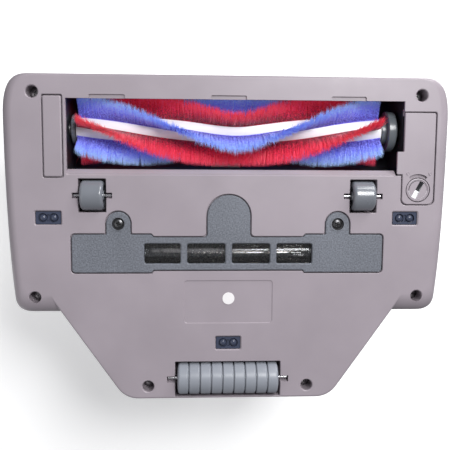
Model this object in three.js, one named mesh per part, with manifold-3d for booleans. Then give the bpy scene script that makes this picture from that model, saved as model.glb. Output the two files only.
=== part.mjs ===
// A hand-held sweeper for beds and carpets: a driven brush roll, a suction fan, an ultraviolet lamp under a
// slotted cover, three lift sensors, two front wheels and a ribbed rear roller.
// Millimetres, +Z up, the front faces -Y. The origin is on the floor, under the middle of the casing.
import * as THREE from "three";
import { mergeVertices } from "three/addons/utils/BufferGeometryUtils.js";
import Module from "manifold-3d";

const wasm = await Module();
wasm.setup();

// ---- Driving dimensions ------------------------------------------------------------------------
const width = 309; // across the widest part of the casing
const depth = 227; // front edge to rear edge
const floorGap = 7; // floor to the flat underside
const wall = 2.4; // casing wall
const gap = 0.35; // between two separate pieces
const play = 0.3; // around a shaft that turns
const partingZ = 34; // where the two halves of the casing meet
const hoodRoom = 2; // between the brush housing and the hood's roof
const deckZ = 56; // top of the deck behind the hood
const brushRadius = 26; // axis to bristle tips
const coreRadius = 8.7;
const brushDrop = 3; // bristles below the underside
const wheelRadius = 10.3;
const wheelWidth = 15.6;
const rollerRadius = 11.3;
const rollerLength = 71;
const cupRadius = 37;
const outletRadius = 9; // the hole in the middle of the cup's floor
const cupHeight = 62;
const handleZ = 128; // middle of the grip, above the floor
const coverThickness = 2.2; // the removable covers in the underside
const screwHoleRadius = 4.1;

// ---- Places worked out from them ---------------------------------------------------------------
const side = width / 2;
const front = -depth / 2;
const rear = depth / 2;
const chamberRadius = brushRadius + 1.8;
const brushY = front + brushRadius + 10.9;
const brushZ = floorGap + brushRadius - brushDrop;
const housingWall = 1.8; // round the brush roll
const hoodZ = brushZ + chamberRadius + housingWall + hoodRoom + wall; // top of the hood over the brush
const mouthFront = brushY - brushRadius + 6.2; // the front lip covers the bristle tips
const mouthRear = brushY + brushRadius + 5;
const mouthSlope = 3.4; // how far the mouth's rear wall leans in towards the brush
const mouthLeft = -(side - 44.5);
const mouthRight = side - 34.1;
const wingRear = rear - 61.8; // rear of the wide part
const wheelY = mouthRear + wheelRadius + 4.1;
const wheelX = side - 61.3;
const tailDraft = 1.2; // how far the rear wall leans out
const tailEdge = rear - tailDraft;
const rollerWellRear = tailEdge - 1.4;
const rollerY = rollerWellRear - 1.2 - rollerRadius;
const uvY = wheelY + 40.2; // middle line of the lamp
const uvHalf = side - 46.5;
const uvTabX = uvHalf - 32.3;
const lampRadius = 7.75;
const lampHalf = 59.7; // glass between its two caps
const lampRoomHalfX = lampHalf + 2.3; // the hole in the floor of the lamp cover's recess
const lampRoomHalfY = 8.9;
const sensorX = side - 31.5;
const sensorY = wheelY + 15.3;
const rearSensorY = rollerY - 26.2;
const cupY = brushY + 44.6;
const cupZ = hoodZ + gap;
const motorFront = uvY + 12; // the suction motor fills the room behind the lamp, up to the rear sensor
const motorRear = rearSensorY - 8.2;
const motorY = (motorFront + motorRear) / 2;
const fanMotorRadius = (motorRear - motorFront) / 2;
const fanRadius = fanMotorRadius + 3.5;
const brushMotorY = brushY + 62.6;
const brushMotorZ = partingZ + 9;
const brushMotorLeft = mouthLeft + 5.5;
const brushMotorRadius = 12.6;
const coverFloorZ = floorGap + coverThickness + gap; // the ledge that a cover rests on
const ledgeTopZ = coverFloorZ + 2;
const ledgeWall = 2.2; // how far a ledge reaches past its cover's edge
const lampCapRadius = lampRadius + 0.4;
const lampZ = ledgeTopZ + gap + lampCapRadius;

const plastic = (color, roughness = 0.45) => new THREE.MeshStandardMaterial({ color, roughness, metalness: 0 });
const metal = (color, roughness = 0.3) => new THREE.MeshStandardMaterial({ color, roughness, metalness: 1 });
const casing = plastic(0xa79da6);
const upperCasing = plastic(0xe7e3e4, 0.35);
const darkPlastic = plastic(0x74787f, 0.6);
const blackPlastic = plastic(0x202226, 0.5);
const steel = metal(0xc9ccd0);
const rubber = plastic(0x8a8f98, 0.55);
const clear = new THREE.MeshStandardMaterial({ color: 0xb9c4cc, roughness: 0.1, transparent: true, opacity: 0.4 });

// ---- Helpers -----------------------------------------------------------------------------------
const model = new THREE.Group();

/** A closed geometry as a solid that can be cut and joined. */
function solid(geometry) {
  const bare = geometry.clone();
  bare.deleteAttribute("normal");
  bare.deleteAttribute("uv");
  const merged = mergeVertices(bare, 1e-4);
  const mesh = new wasm.Mesh({
    numProp: 3,
    vertProperties: merged.attributes.position.array,
    triVerts: new Uint32Array(merged.index.array),
  });
  return new wasm.Manifold(mesh);
}

/** Names a solid and puts it in the model. */
function piece(name, body, material) {
  const cut = body.simplify(0.01).getMesh();
  const geometry = new THREE.BufferGeometry();
  geometry.setAttribute("position", new THREE.BufferAttribute(cut.vertProperties, 3));
  geometry.setIndex(new THREE.BufferAttribute(cut.triVerts, 1));
  geometry.computeVertexNormals();
  const mesh = new THREE.Mesh(geometry, material);
  mesh.name = name;
  model.add(mesh);
  return body;
}

/** A box between two opposite corners. */
function block(x0, x1, y0, y1, z0, z1) {
  const geometry = new THREE.BoxGeometry(x1 - x0, y1 - y0, z1 - z0);
  return solid(geometry.translate((x0 + x1) / 2, (y0 + y1) / 2, (z0 + z1) / 2));
}

/** A cylinder along Z from z0 to z1. */
function post(x, y, radius, z0, z1, segments = 12) {
  const geometry = new THREE.CylinderGeometry(radius, radius, z1 - z0, segments);
  return solid(geometry.rotateX(Math.PI / 2).translate(x, y, (z0 + z1) / 2));
}

/** A cylinder along X from x0 to x1. */
function rod(x0, x1, y, z, radius, segments = 16) {
  const geometry = new THREE.CylinderGeometry(radius, radius, x1 - x0, segments);
  return solid(geometry.rotateZ(Math.PI / 2).translate((x0 + x1) / 2, y, z));
}

/** A body turned about the X direction through (y, z); the profile is [x, radius] pairs and closes on itself. */
function turned(profile, y, z, segments = 24) {
  const points = profile.map(([x, radius]) => new THREE.Vector2(radius, -x));
  points.push(points[0].clone());
  const geometry = new THREE.LatheGeometry(points, segments);
  return outward(solid(geometry.rotateZ(Math.PI / 2).translate(0, y, z)), geometry);
}

/** A body turned about the Z direction through (x, y); the profile is [radius, z] pairs and closes on itself. */
function turnedUp(profile, x, y, segments = 32) {
  const points = profile.map(([radius, z]) => new THREE.Vector2(radius, z));
  points.push(points[0].clone());
  const geometry = new THREE.LatheGeometry(points, segments);
  return outward(solid(geometry.rotateX(Math.PI / 2).translate(x, y, 0)), geometry);
}

/** The same solid with its faces pointing out, whichever way its profile ran. */
function outward(body, geometry) {
  if (body.volume() > 0) return body;
  const turnedRound = geometry.clone();
  turnedRound.index.array.reverse();
  return solid(turnedRound);
}

/** A flat outline extruded from z0 to z1. */
function slab(shape, z0, z1, curveSegments = 5) {
  const geometry = new THREE.ExtrudeGeometry(shape, { depth: z1 - z0, bevelEnabled: false, curveSegments });
  return solid(geometry.translate(0, 0, z0));
}

/** A (y, z) outline extruded along X from x0 to x1. */
function along(shape, x0, x1, curveSegments = 14) {
  const geometry = new THREE.ExtrudeGeometry(shape, { depth: x1 - x0, bevelEnabled: false, curveSegments });
  const turn = new THREE.Matrix4().set(0, 0, 1, x0, 1, 0, 0, 0, 0, 1, 0, 0, 0, 0, 0, 1);
  return solid(geometry.applyMatrix4(turn));
}

/** Lays a ring out flat as it is seen when looking back along the direction of travel. */
function flatten(ring, travel) {
  const aside = new THREE.Vector3(Math.abs(travel.x) > 0.9 ? 0 : 1, Math.abs(travel.x) > 0.9 ? 1 : 0, 0);
  const up = new THREE.Vector3().crossVectors(travel, aside).normalize();
  aside.crossVectors(up, travel).normalize();
  return ring.map((p) => new THREE.Vector2(p.dot(aside), p.dot(up)));
}

const middleOf = (ring) => ring.reduce((sum, p) => sum.add(p), new THREE.Vector3()).divideScalar(ring.length);

/** A closed skin through rings of equally many points, each ring nearly flat. */
function loft(given) {
  const start = middleOf(given[1]).sub(middleOf(given[0])).normalize();
  const end = middleOf(given.at(-1)).sub(middleOf(given.at(-2))).normalize();
  const wrongWay = THREE.ShapeUtils.isClockWise(flatten(given[0], start));
  const rings = wrongWay ? given.map((ring) => [...ring].reverse()) : given;
  const count = rings[0].length;
  const index = [];
  for (let i = 0; i + 1 < rings.length; i++) {
    for (let j = 0; j < count; j++) {
      const a = i * count + j;
      const b = i * count + ((j + 1) % count);
      index.push(a, b, b + count, a, b + count, a + count);
    }
  }
  const last = (rings.length - 1) * count;
  for (const [a, b, c] of THREE.ShapeUtils.triangulateShape(flatten(rings[0], start), [])) index.push(c, b, a);
  for (const [a, b, c] of THREE.ShapeUtils.triangulateShape(flatten(rings.at(-1), end), [])) {
    index.push(last + a, last + b, last + c);
  }
  const geometry = new THREE.BufferGeometry();
  const positions = rings.flat().flatMap((p) => [p.x, p.y, p.z]);
  geometry.setAttribute("position", new THREE.Float32BufferAttribute(positions, 3));
  geometry.setIndex(index);
  return solid(geometry);
}

const together = (...bodies) => bodies.reduce((all, body) => all.add(body));
const leftAndRight = (make) => [make(-1), make(1)];

/** A rectangle with round corners, about (x, y). */
function roundRect(x, y, halfX, halfY, radius) {
  const shape = new THREE.Shape();
  shape.moveTo(x - halfX + radius, y - halfY);
  shape.absarc(x + halfX - radius, y - halfY + radius, radius, -Math.PI / 2, 0);
  shape.absarc(x + halfX - radius, y + halfY - radius, radius, 0, Math.PI / 2);
  shape.absarc(x - halfX + radius, y + halfY - radius, radius, Math.PI / 2, Math.PI);
  shape.absarc(x - halfX + radius, y - halfY + radius, radius, Math.PI, Math.PI * 1.5);
  return shape;
}

// ---- The casing's outer form -------------------------------------------------------------------
// The wide front part is an outline with gently curved sides. It is shrunk towards the underside and the top.
const widestRise = 14; // underside to the widest level
const plateInset = { side: 9, front: 2.4, rear: 14 }; // widest level to the flat underside
const hoodInset = { side: 30, front: 40, rear: 26 }; // widest level to the flat top of the hood
const wingMiddle = (front + wingRear) / 2;

function wingOutline() {
  const half = new THREE.Path();
  half.moveTo(0, front);
  half.lineTo(side - 16.5, front);
  half.bezierCurveTo(side - 4.5, front, side, front + 9.5, side, front + 28.5);
  half.quadraticCurveTo(side - 0.5, wingRear - 51.7, side - 5.2, wingRear - 9.7);
  half.quadraticCurveTo(side - 6.2, wingRear, side - 17.5, wingRear);
  const right = half.getPoints(4).slice(1);
  return [...right, ...right.map((p) => new THREE.Vector2(-p.x, p.y)).reverse()];
}

/** The wide part's ring at height z, its edges moved in by share times the insets, plus extra. */
function wingRing(z, inset, share, extra = 0) {
  return wingOutline().map((p) => {
    const frontIn = (inset.front * share + extra) / (wingMiddle - front);
    const rearIn = (inset.rear * share + extra) / (wingRear - wingMiddle);
    const x = p.x * (1 - (inset.side * share + extra) / side);
    const y = wingMiddle + (p.y - wingMiddle) * (1 - (p.y < wingMiddle ? frontIn : rearIn));
    return new THREE.Vector3(x, y, z);
  });
}

// The narrow rear part has two slanting sides.
const slant = 0.6935; // how far in a slanting side comes for each millimetre towards the rear
const slantX = side - 30.9 + (wingRear - 13.5) * slant; // where a slanting side would cross y = 0

/** The rear part's ring at height z, grown outwards by grow. */
function tailRing(z, grow) {
  const grown = slantX + grow * Math.hypot(1, slant);
  const back = tailEdge + grow;
  const cornerX = grown - back * slant;
  const startY = wingMiddle;
  const half = new THREE.Path();
  half.moveTo(0, startY);
  half.lineTo(grown - (wingRear - 30) * slant, startY);
  half.lineTo(grown - (wingRear - 30) * slant, wingRear - 30);
  half.lineTo(cornerX + 8 * slant, back - 8);
  half.quadraticCurveTo(cornerX, back, cornerX - 9.5, back);
  const right = half.getPoints(3).slice(1);
  return [...right, ...right.map((p) => new THREE.Vector2(-p.x, p.y)).reverse()].map(
    (p) => new THREE.Vector3(p.x, p.y, z),
  );
}

const arcSteps = (count) => Array.from({ length: count + 1 }, (_, i) => ((i / count) * Math.PI) / 2);

/** The lower half's outer form, moved in by thick on every side. */
function lowerForm(thick) {
  const rise = arcSteps(thick ? 2 : 4).map((a) =>
    wingRing(floorGap + thick + (widestRise - thick) * (1 - Math.cos(a)), plateInset, 1 - Math.sin(a), thick),
  );
  const wing = loft([...rise, wingRing(partingZ, plateInset, 0, thick)]);
  const tail = loft([
    tailRing(floorGap + thick, -1.6 - thick),
    tailRing(floorGap + thick + 0.5, -0.5 - thick),
    tailRing(floorGap + thick + 1.8, -thick),
    tailRing(partingZ, tailDraft - thick),
  ]);
  return wing.add(tail);
}

/** The upper half's outer form, moved in by thick on every side. */
function upperForm(thick, fromZ = partingZ + gap) {
  const hoodRise = arcSteps(thick ? 3 : 4).map((a) =>
    wingRing(
      partingZ + gap + (hoodZ - thick - partingZ - gap) * Math.sin(a),
      hoodInset,
      1 - Math.cos(a),
      thick,
    ),
  );
  const deckStart = deckZ - 10;
  const deckRise = arcSteps(thick ? 2 : 3).map((a) =>
    tailRing(deckStart + (deckZ - thick - deckStart) * Math.sin(a), tailDraft - thick - 12 * (1 - Math.cos(a))),
  );
  const hood = loft([wingRing(fromZ, hoodInset, 0, thick), ...hoodRise.slice(fromZ < partingZ + gap ? 0 : 1)]);
  const deck = loft([tailRing(fromZ, tailDraft - thick), ...deckRise]);
  return hood.add(deck);
}

// ---- Screws that hold the two halves together --------------------------------------------------
const seatZ = 20; // top of a screw's deep hole
const screwPlaces = [
  [-(side - 22.5), front + 13.1],
  [side - 22.5, front + 13.1],
  [-(side - 21.3), wingRear - 12.5],
  [side - 21.3, wingRear - 12.5],
  [-56.1, rear - 9.6 - tailDraft / 2],
  [56.1, rear - 9.6 - tailDraft / 2],
];
const shankRadius = 1.5;

function casingScrew(x, y) {
  const head = post(x, y, 3.4, seatZ - gap - 2.4, seatZ - gap);
  const socket = post(x, y, 1.5, seatZ - gap - 2.6, seatZ - gap - 1.2, 6);
  return head.add(post(x, y, shankRadius, seatZ - gap - 0.5, partingZ - 1, 8)).subtract(socket);
}

screwPlaces.forEach(([x, y], i) => piece(`casing_screw_${i + 1}`, casingScrew(x, y), steel));

// ---- Covers let into the underside -------------------------------------------------------------
const brushCoverLeft = mouthRight;
const brushCoverRight = side - 11.6;
const brushCoverFront = mouthFront + 7.3;
const brushCoverRear = mouthRear + 20.3;
const brushCoverStep = mouthRear - 16.5; // front edge of the step that reaches into the mouth
const lockX = (brushCoverLeft + brushCoverRight) / 2 - 0.3;
const lockY = brushCoverRear - 10.5;
const lockRadius = 8;

/** The brush cover's outline: a step on its inner side keeps it from going in the wrong way round. */
function brushCoverOutline(grow = 0) {
  const [x0, x1, y0, y1] = [brushCoverLeft - grow, brushCoverRight, brushCoverFront - grow, brushCoverRear + grow];
  const corner = 3.5;
  const shape = new THREE.Shape();
  shape.moveTo(x0, y0);
  shape.lineTo(x1 + grow - 1.5, y0);
  shape.quadraticCurveTo(x1 + grow, y0, x1 + grow, y0 + 1.5);
  shape.lineTo(x1 + grow, y1 - corner);
  shape.quadraticCurveTo(x1 + grow, y1, x1 + grow - corner, y1);
  shape.lineTo(x0 - 0.6 - grow + corner, y1);
  shape.quadraticCurveTo(x0 - 0.6 - grow, y1, x0 - 0.6 - grow, y1 - corner);
  shape.lineTo(x0 - 0.6 - grow, mouthRear - gap + grow);
  shape.lineTo(x0 - 4, mouthRear - gap + grow);
  shape.lineTo(x0 - 4, brushCoverStep);
  shape.lineTo(x0, brushCoverStep);
  return shape;
}

const beltCoverLeft = mouthLeft - 15.6;
const beltCoverRight = mouthLeft - 2.3;
const beltCoverFront = mouthFront - 2;
const beltCoverRear = mouthRear + 2.2;

function beltCoverOutline(grow = 0) {
  const halfX = (beltCoverRight - beltCoverLeft) / 2 + grow;
  const halfY = (beltCoverRear - beltCoverFront) / 2 + grow;
  return roundRect(
    (beltCoverLeft + beltCoverRight) / 2,
    (beltCoverFront + beltCoverRear) / 2,
    halfX,
    halfY,
    1.2,
  );
}

// The lamp's cover: a long bar with two screw tabs and a round finger tab, all facing the brush.
const uvFront = uvY - 13.9;
const uvRear = uvY + 13.4;
const uvStepX = 52.4;
const uvTabHalf = 8.7;
const uvScrewY = uvFront - 7;
const fingerHalf = 15.3;
const fingerFront = uvFront - 27.3;

function uvOutline(grow = 0) {
  const corner = 2.5;
  const tab = uvTabHalf + grow;
  const finger = fingerHalf + grow;
  const half = new THREE.Path();
  half.moveTo(0, fingerFront - grow);
  half.bezierCurveTo(finger * 0.6, fingerFront - grow, finger, fingerFront - grow + 5.5, finger, fingerFront + 14);
  half.lineTo(finger, uvFront + 1.9 - grow - 2);
  half.quadraticCurveTo(finger, uvFront + 1.9 - grow, finger + 2, uvFront + 1.9 - grow);
  half.lineTo(uvStepX - 0.9, uvFront + 1.9 - grow);
  half.lineTo(uvStepX + 0.9, uvFront - grow);
  half.lineTo(uvTabX - tab - 0.8, uvFront - grow);
  half.lineTo(uvTabX - tab, uvFront - 0.8 - grow);
  half.lineTo(uvTabX - tab, uvScrewY);
  half.absarc(uvTabX, uvScrewY, tab, Math.PI, Math.PI * 2);
  half.lineTo(uvTabX + tab, uvFront - 0.8 - grow);
  half.lineTo(uvTabX + tab + 0.8, uvFront - grow);
  half.lineTo(uvHalf + grow - corner, uvFront - grow);
  half.quadraticCurveTo(uvHalf + grow, uvFront - grow, uvHalf + grow, uvFront - grow + corner);
  half.lineTo(uvHalf + grow, uvRear + grow - corner);
  half.quadraticCurveTo(uvHalf + grow, uvRear + grow, uvHalf + grow - corner, uvRear + grow);
  half.lineTo(uvStepX + 0.5, uvRear + grow);
  half.lineTo(uvStepX - 0.5, uvRear + grow - 1.7);
  const right = half.getPoints(3);
  const left = right.map((p) => new THREE.Vector2(-p.x, p.y)).reverse();
  return new THREE.Shape([...right, ...left.slice(0, -1)]);
}

const windowHalfY = 7;
const windowBars = [-58.2, -33.3, -28.7, -2.3, 2.3, 28.7, 33.3, 58.2]; // edges of the four windows, left to right

// ---- The base: the lower half of the casing ----------------------------------------------------
const sensorHalfX = 8.8;
const sensorHalfY = 4.6;
const sensorPlaces = [
  ["left", -sensorX, sensorY],
  ["right", sensorX, sensorY],
  ["rear", 0, rearSensorY],
];
const wheelWellHalfX = wheelWidth / 2 + 1.6;
const wheelWellHalfY = wheelRadius + 1.2;
const wellWall = 1.6;
const wheelWellFront = wheelY - wheelWellHalfY;
const wheelWellRear = wheelY + wheelWellHalfY;
const wheelAxleHalf = 13.2;
const wheelAxleRadius = 1.25;
const rollerWellHalfX = rollerLength / 2 + 1.7;
const rollerWellFront = rollerY - rollerRadius - 1.5;
const rollerAxleHalf = 42.6;
const rollerAxleRadius = 1.5;
const labelFront = uvRear + 5.5;
const labelRear = labelFront + 29.7;
const labelHalf = 30.5;

/** The blocks inside the base that hold an axle's two ends, with the slots that the axle snaps into. */
function axleSeats(x, y, z, wellHalf, axleHalf, radius) {
  const blocks = leftAndRight((s) => {
    const inner = x + s * (wellHalf + 0.01);
    const outer = x + s * (axleHalf + gap + 1.6);
    return block(Math.min(inner, outer), Math.max(inner, outer), y - 4, y + 4, floorGap + 1, z + radius + 2.2);
  });
  const slots = leftAndRight((s) => {
    const inner = x + s * (wellHalf - 1);
    const outer = x + s * (axleHalf + gap);
    const groove = block(
      Math.min(inner, outer),
      Math.max(inner, outer),
      y - radius - gap,
      y + radius + gap,
      floorGap - 1,
      z,
    );
    return groove.add(rod(Math.min(inner, outer), Math.max(inner, outer), y, z, radius + gap, 16));
  });
  return { blocks: together(...blocks), slots: together(...slots) };
}

/** Two ribs that stand on the floor of the base and carry the brush motor. */
function motorCradle() {
  return [brushMotorLeft + 5, brushMotorLeft + 36].map((x) =>
    block(x, x + 3, brushMotorY - 10, brushMotorY + 10, floorGap + 1, brushMotorZ - 4).subtract(
      rod(x - 1, x + 4, brushMotorY, brushMotorZ, brushMotorRadius + gap, 20),
    ),
  );
}

function baseShell() {
  const outer = lowerForm(0);
  const [brimLow, brimHigh] = [partingZ - 0.1, partingZ + 1]; // the open top of the two cavities
  const wingTop = loft([brimLow, brimHigh].map((z) => wingRing(z, plateInset, 0, wall)));
  const tailTop = loft([brimLow, brimHigh].map((z) => tailRing(z, tailDraft - wall)));
  const cavity = together(lowerForm(wall), wingTop, tailTop);
  const seats = [
    axleSeats(-wheelX, wheelY, wheelRadius, wheelWellHalfX, wheelAxleHalf, wheelAxleRadius),
    axleSeats(wheelX, wheelY, wheelRadius, wheelWellHalfX, wheelAxleHalf, wheelAxleRadius),
    axleSeats(0, rollerY, rollerRadius, rollerWellHalfX, rollerAxleHalf, rollerAxleRadius),
  ];
  const bosses = screwPlaces.map(([x, y]) => post(x, y, screwHoleRadius + 2, floorGap, seatZ + 2.4));
  const pilots = leftAndRight((s) => post(s * uvTabX, uvScrewY, 4.6, floorGap + 1, ledgeTopZ + 8));
  const frontWells = leftAndRight((s) => {
    return [s * wheelX, wheelWellHalfX, wheelWellFront, wheelWellRear, 2 * wheelRadius];
  });
  const rollerWell = [0, rollerWellHalfX, rollerWellFront, rollerWellRear, 2 * rollerRadius];
  const wellBox = ([x, half, y0, y1, top], grow, foot) =>
    block(x - half - grow, x + half + grow, y0 - (y0 > 0 ? grow : 0), y1 + grow, foot, top + 1.2 + grow);
  const wellWalls = [...frontWells, rollerWell].map((well) => wellBox(well, wellWall, floorGap + 1));
  const wells = [...frontWells, rollerWell].map((well) => wellBox(well, 0, floorGap - 1));
  const inside = together(
    block(mouthLeft - 2, mouthRight + 1, mouthRear - mouthSlope, mouthRear + 2.5, floorGap + 0.5, ledgeTopZ),
    slab(uvOutline(ledgeWall), floorGap + 0.5, ledgeTopZ),
    slab(brushCoverOutline(ledgeWall), floorGap + 0.5, ledgeTopZ),
    slab(beltCoverOutline(ledgeWall), floorGap + 0.5, ledgeTopZ),
    ...bosses,
    ...pilots,
    ...wellWalls,
    ...seats.map((s) => s.blocks),
    ...motorCradle(),
  ).intersect(outer);

  const slopeRight = mouthRight - 5; // the slope ends where the side cover's step begins
  const slopeRise = ledgeTopZ - floorGap;
  const overshoot = mouthSlope / slopeRise; // per millimetre past either end of the slope
  const mouthTop = ledgeTopZ + 1;
  const mouth = block(mouthLeft, mouthRight, mouthFront, mouthRear - mouthSlope, floorGap - 1, mouthTop).add(
    block(slopeRight, mouthRight, mouthFront, mouthRear, floorGap - 1, mouthTop),
  );
  const slope = new THREE.Shape();
  slope.moveTo(mouthFront + 5, floorGap - 1);
  slope.lineTo(mouthRear + overshoot, floorGap - 1);
  slope.lineTo(mouthRear - mouthSlope - overshoot, mouthTop);
  slope.lineTo(mouthFront + 5, mouthTop);
  const rearSlope = along(slope, mouthLeft, slopeRight + 0.5);
  const notches = [-1, 0, 1].map((i) => {
    const middle = i * (mouthRight - mouthLeft - 66.4) * 0.5 - 0.4;
    return block(middle - 12, middle + 12, mouthFront - 2.7, mouthFront + 1, floorGap - 1, floorGap + 1.3);
  });
  const eyes = sensorPlaces.map(([, x, y]) =>
    block(x - sensorHalfX, x + sensorHalfX, y - sensorHalfY, y + sensorHalfY, floorGap - 1, ledgeTopZ),
  );
  const recesses = [
    slab(uvOutline(gap), floorGap - 1, coverFloorZ),
    slab(brushCoverOutline(gap), floorGap - 1, coverFloorZ),
    slab(beltCoverOutline(gap), floorGap - 1, coverFloorZ),
    block(-lampRoomHalfX, lampRoomHalfX, uvY - lampRoomHalfY, uvY + lampRoomHalfY, floorGap - 1, ledgeTopZ + 1),
    block(brushCoverLeft - 1, brushCoverRight - 2.5, brushCoverFront + 2.5, lockY - 11, floorGap, ledgeTopZ + 1),
    post(lockX, lockY, lockRadius + 0.8, floorGap, ledgeTopZ + 1),
    slab(beltCoverOutline(-2), floorGap, ledgeTopZ + 1),
    block(-labelHalf, labelHalf, labelFront, labelRear, floorGap - 1, floorGap + 0.5),
  ];
  const screwHoles = screwPlaces.flatMap(([x, y]) => [
    post(x, y, screwHoleRadius, 0, seatZ, 16),
    post(x, y, shankRadius + 0.5, 0, seatZ + 3, 12),
  ]);
  const pilotRadius = shankRadius + gap;
  const pilotHoles = leftAndRight((s) => post(s * uvTabX, uvScrewY, pilotRadius, floorGap, ledgeTopZ + 7, 12));
  return outer
    .subtract(cavity)
    .add(inside)
    .subtract(
      together(mouth, rearSlope, ...notches, ...wells, ...eyes, ...recesses, ...screwHoles, ...pilotHoles),
    )
    .subtract(together(...seats.map((s) => s.slots)));
}

piece("base_shell", baseShell(), casing);

// ---- Brush roll --------------------------------------------------------------------------------
const coreLeft = mouthLeft + 4;
const coreRight = mouthRight - 11.5;
const coreMiddle = (coreLeft + coreRight) / 2;
const brushShaftRadius = 3;
const rows = 6;
const sweepDegrees = 116; // how far a row turns between its ends and its middle
const rowApex = coreMiddle + 4; // where the V's point lies
const endDegrees = 80; // where the first row stands at the roll's ends, from straight down towards the front

/** How far a row has turned at x: a V with a rounded point in the middle of the roll. */
function rowTurn(x) {
  const soft = 0.12;
  const u = x < rowApex ? (rowApex - x) / (rowApex - coreLeft) : (x - rowApex) / (coreRight - rowApex);
  const share = (Math.hypot(u, soft) - soft) / (Math.hypot(1, soft) - soft);
  return THREE.MathUtils.degToRad(sweepDegrees * (share - 1));
}

/** One row of bristles: narrow at the core, spread at the tips. */
function bristleRow(number) {
  const steps = 20;
  const base = THREE.MathUtils.degToRad(endDegrees - (360 / rows) * number);
  const rings = [];
  for (let i = 0; i <= steps; i++) {
    const x = coreLeft + 1 + ((coreRight - coreLeft - 2) * i) / steps;
    const angle = base + rowTurn(x);
    const corners = [
      [coreRadius + play, -1.3 / coreRadius],
      [coreRadius + play, 1.3 / coreRadius],
      [brushRadius, 3.2 / brushRadius],
      [brushRadius, -3.2 / brushRadius],
    ];
    rings.push(
      corners.map(([radius, off]) => {
        const a = angle + off;
        return new THREE.Vector3(x, brushY - radius * Math.sin(a), brushZ - radius * Math.cos(a));
      }),
    );
  }
  return loft(rings);
}

const bristleColours = { blue: plastic(0x6a78e0, 0.8), red: plastic(0xd0203c, 0.8) };
for (let i = 0; i < rows; i++) {
  const colour = i % 2 ? "red" : "blue";
  piece(`${colour}_bristles_${Math.floor(i / 2) + 1}`, bristleRow(i), bristleColours[colour]);
}
const shaftBore = brushShaftRadius + gap;
const core = [
  [coreLeft, shaftBore],
  [coreLeft, coreRadius],
  [coreRight, coreRadius],
  [coreRight, shaftBore],
];
piece("brush_core", turned(core, brushY, brushZ, 24), plastic(0xf2f0ee, 0.3));
const discRadius = 14.5;
const hubRadius = 10.5;
const leftDisc = [
  [mouthLeft + 0.8, shaftBore],
  [mouthLeft + 0.8, hubRadius - 0.8],
  [mouthLeft + 1.6, hubRadius],
  [coreLeft - gap, hubRadius],
  [coreLeft - gap, shaftBore],
];
piece("brush_end_disc_left", turned(leftDisc, brushY, brushZ), darkPlastic);
const discRight = mouthRight - 1.6;
const rightDisc = [
  [coreRight + gap, shaftBore],
  [coreRight + gap, hubRadius - 1],
  [discRight - 6.2, hubRadius - 1],
  [discRight - 6.2, discRadius - 0.8],
  [discRight - 5.4, discRadius],
  [discRight - 1.6, discRadius],
  [discRight, discRadius - 1.6],
  [discRight, shaftBore],
];
piece("brush_end_disc_right", turned(rightDisc, brushY, brushZ), darkPlastic);
const shaftLeft = mouthLeft - 10;
const shaftRight = mouthRight + 8;
piece("brush_shaft", rod(shaftLeft, shaftRight, brushY, brushZ, brushShaftRadius, 16), steel);

// ---- Brush housing, bearings and drive ---------------------------------------------------------
const housingLeft = mouthLeft - 0.4;
const housingRight = mouthRight + 0.6;
const housingFootZ = ledgeTopZ + gap;
const bearingRadius = 7.2;

/** A tunnel's end view: half round above the brush's axis, straight below it, laid out as (y, z). */
function tunnelShape(radius, footZ) {
  const shape = new THREE.Shape();
  shape.moveTo(brushY - radius, footZ);
  shape.lineTo(brushY + radius, footZ);
  shape.lineTo(brushY + radius, brushZ);
  shape.absarc(brushY, brushZ, radius, 0, Math.PI);
  return shape;
}

const portHalf = 13; // half the width of the way from the brush to the cup
const portY = brushY + 21;
const housingOuter = along(
  tunnelShape(chamberRadius + housingWall, housingFootZ),
  housingLeft - housingWall,
  housingRight + housingWall,
);
const riserTop = hoodZ - wall - gap;
const riser = block(-portHalf, portHalf, portY - 7, portY + 7, brushZ + 5, riserTop);
const housing = housingOuter
  .add(riser)
  .subtract(along(tunnelShape(chamberRadius, housingFootZ - 5), housingLeft, housingRight))
  .subtract(rod(housingLeft - 5, housingLeft + 1, brushY, brushZ, bearingRadius + gap))
  .subtract(rod(housingRight - 1, housingRight + 5, brushY, brushZ, bearingRadius + gap))
  .subtract(block(-portHalf + 1.5, portHalf - 1.5, portY - 5.5, portY + 5.5, brushZ, hoodZ));
piece("brush_housing", housing, blackPlastic);

function bearing(x0, x1) {
  const ring = [
    [x0, brushShaftRadius + play],
    [x0, bearingRadius],
    [x1, bearingRadius],
    [x1, brushShaftRadius + play],
  ];
  return turned(ring, brushY, brushZ, 20);
}
piece("brush_bearing_left", bearing(housingLeft - housingWall, housingLeft + 0.3), steel);
piece("brush_bearing_right", bearing(housingRight - 0.4, housingRight + 6), blackPlastic);

const pulleyLeft = mouthLeft - 9;
const pulleyRight = mouthLeft - 3.2;
const brushPulleyRadius = 13;
const motorPulleyRadius = 8;
const beltThickness = 1.6;

/** A grooved belt wheel: two flanges with the belt between them. */
function beltWheel(y, z, radius, bore) {
  const flange = radius + beltThickness - 0.2;
  const wheel = [
    [pulleyLeft, bore],
    [pulleyLeft, flange],
    [pulleyLeft + 0.8, flange],
    [pulleyLeft + 0.8, radius],
    [pulleyRight - 0.8, radius],
    [pulleyRight - 0.8, flange],
    [pulleyRight, flange],
    [pulleyRight, bore],
  ];
  return turned(wheel, y, z, 24);
}
piece("brush_pulley", beltWheel(brushY, brushZ, brushPulleyRadius, shaftBore), blackPlastic);
const pulleyStub = rod(pulleyLeft, brushMotorLeft - gap, brushMotorY, brushMotorZ, 2, 12);
const motorPulley = beltWheel(brushMotorY, brushMotorZ, motorPulleyRadius, 1.8).add(pulleyStub);
piece("motor_pulley", motorPulley, steel);
const brushMotor = rod(brushMotorLeft, brushMotorLeft + 46, brushMotorY, brushMotorZ, brushMotorRadius, 20);
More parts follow.
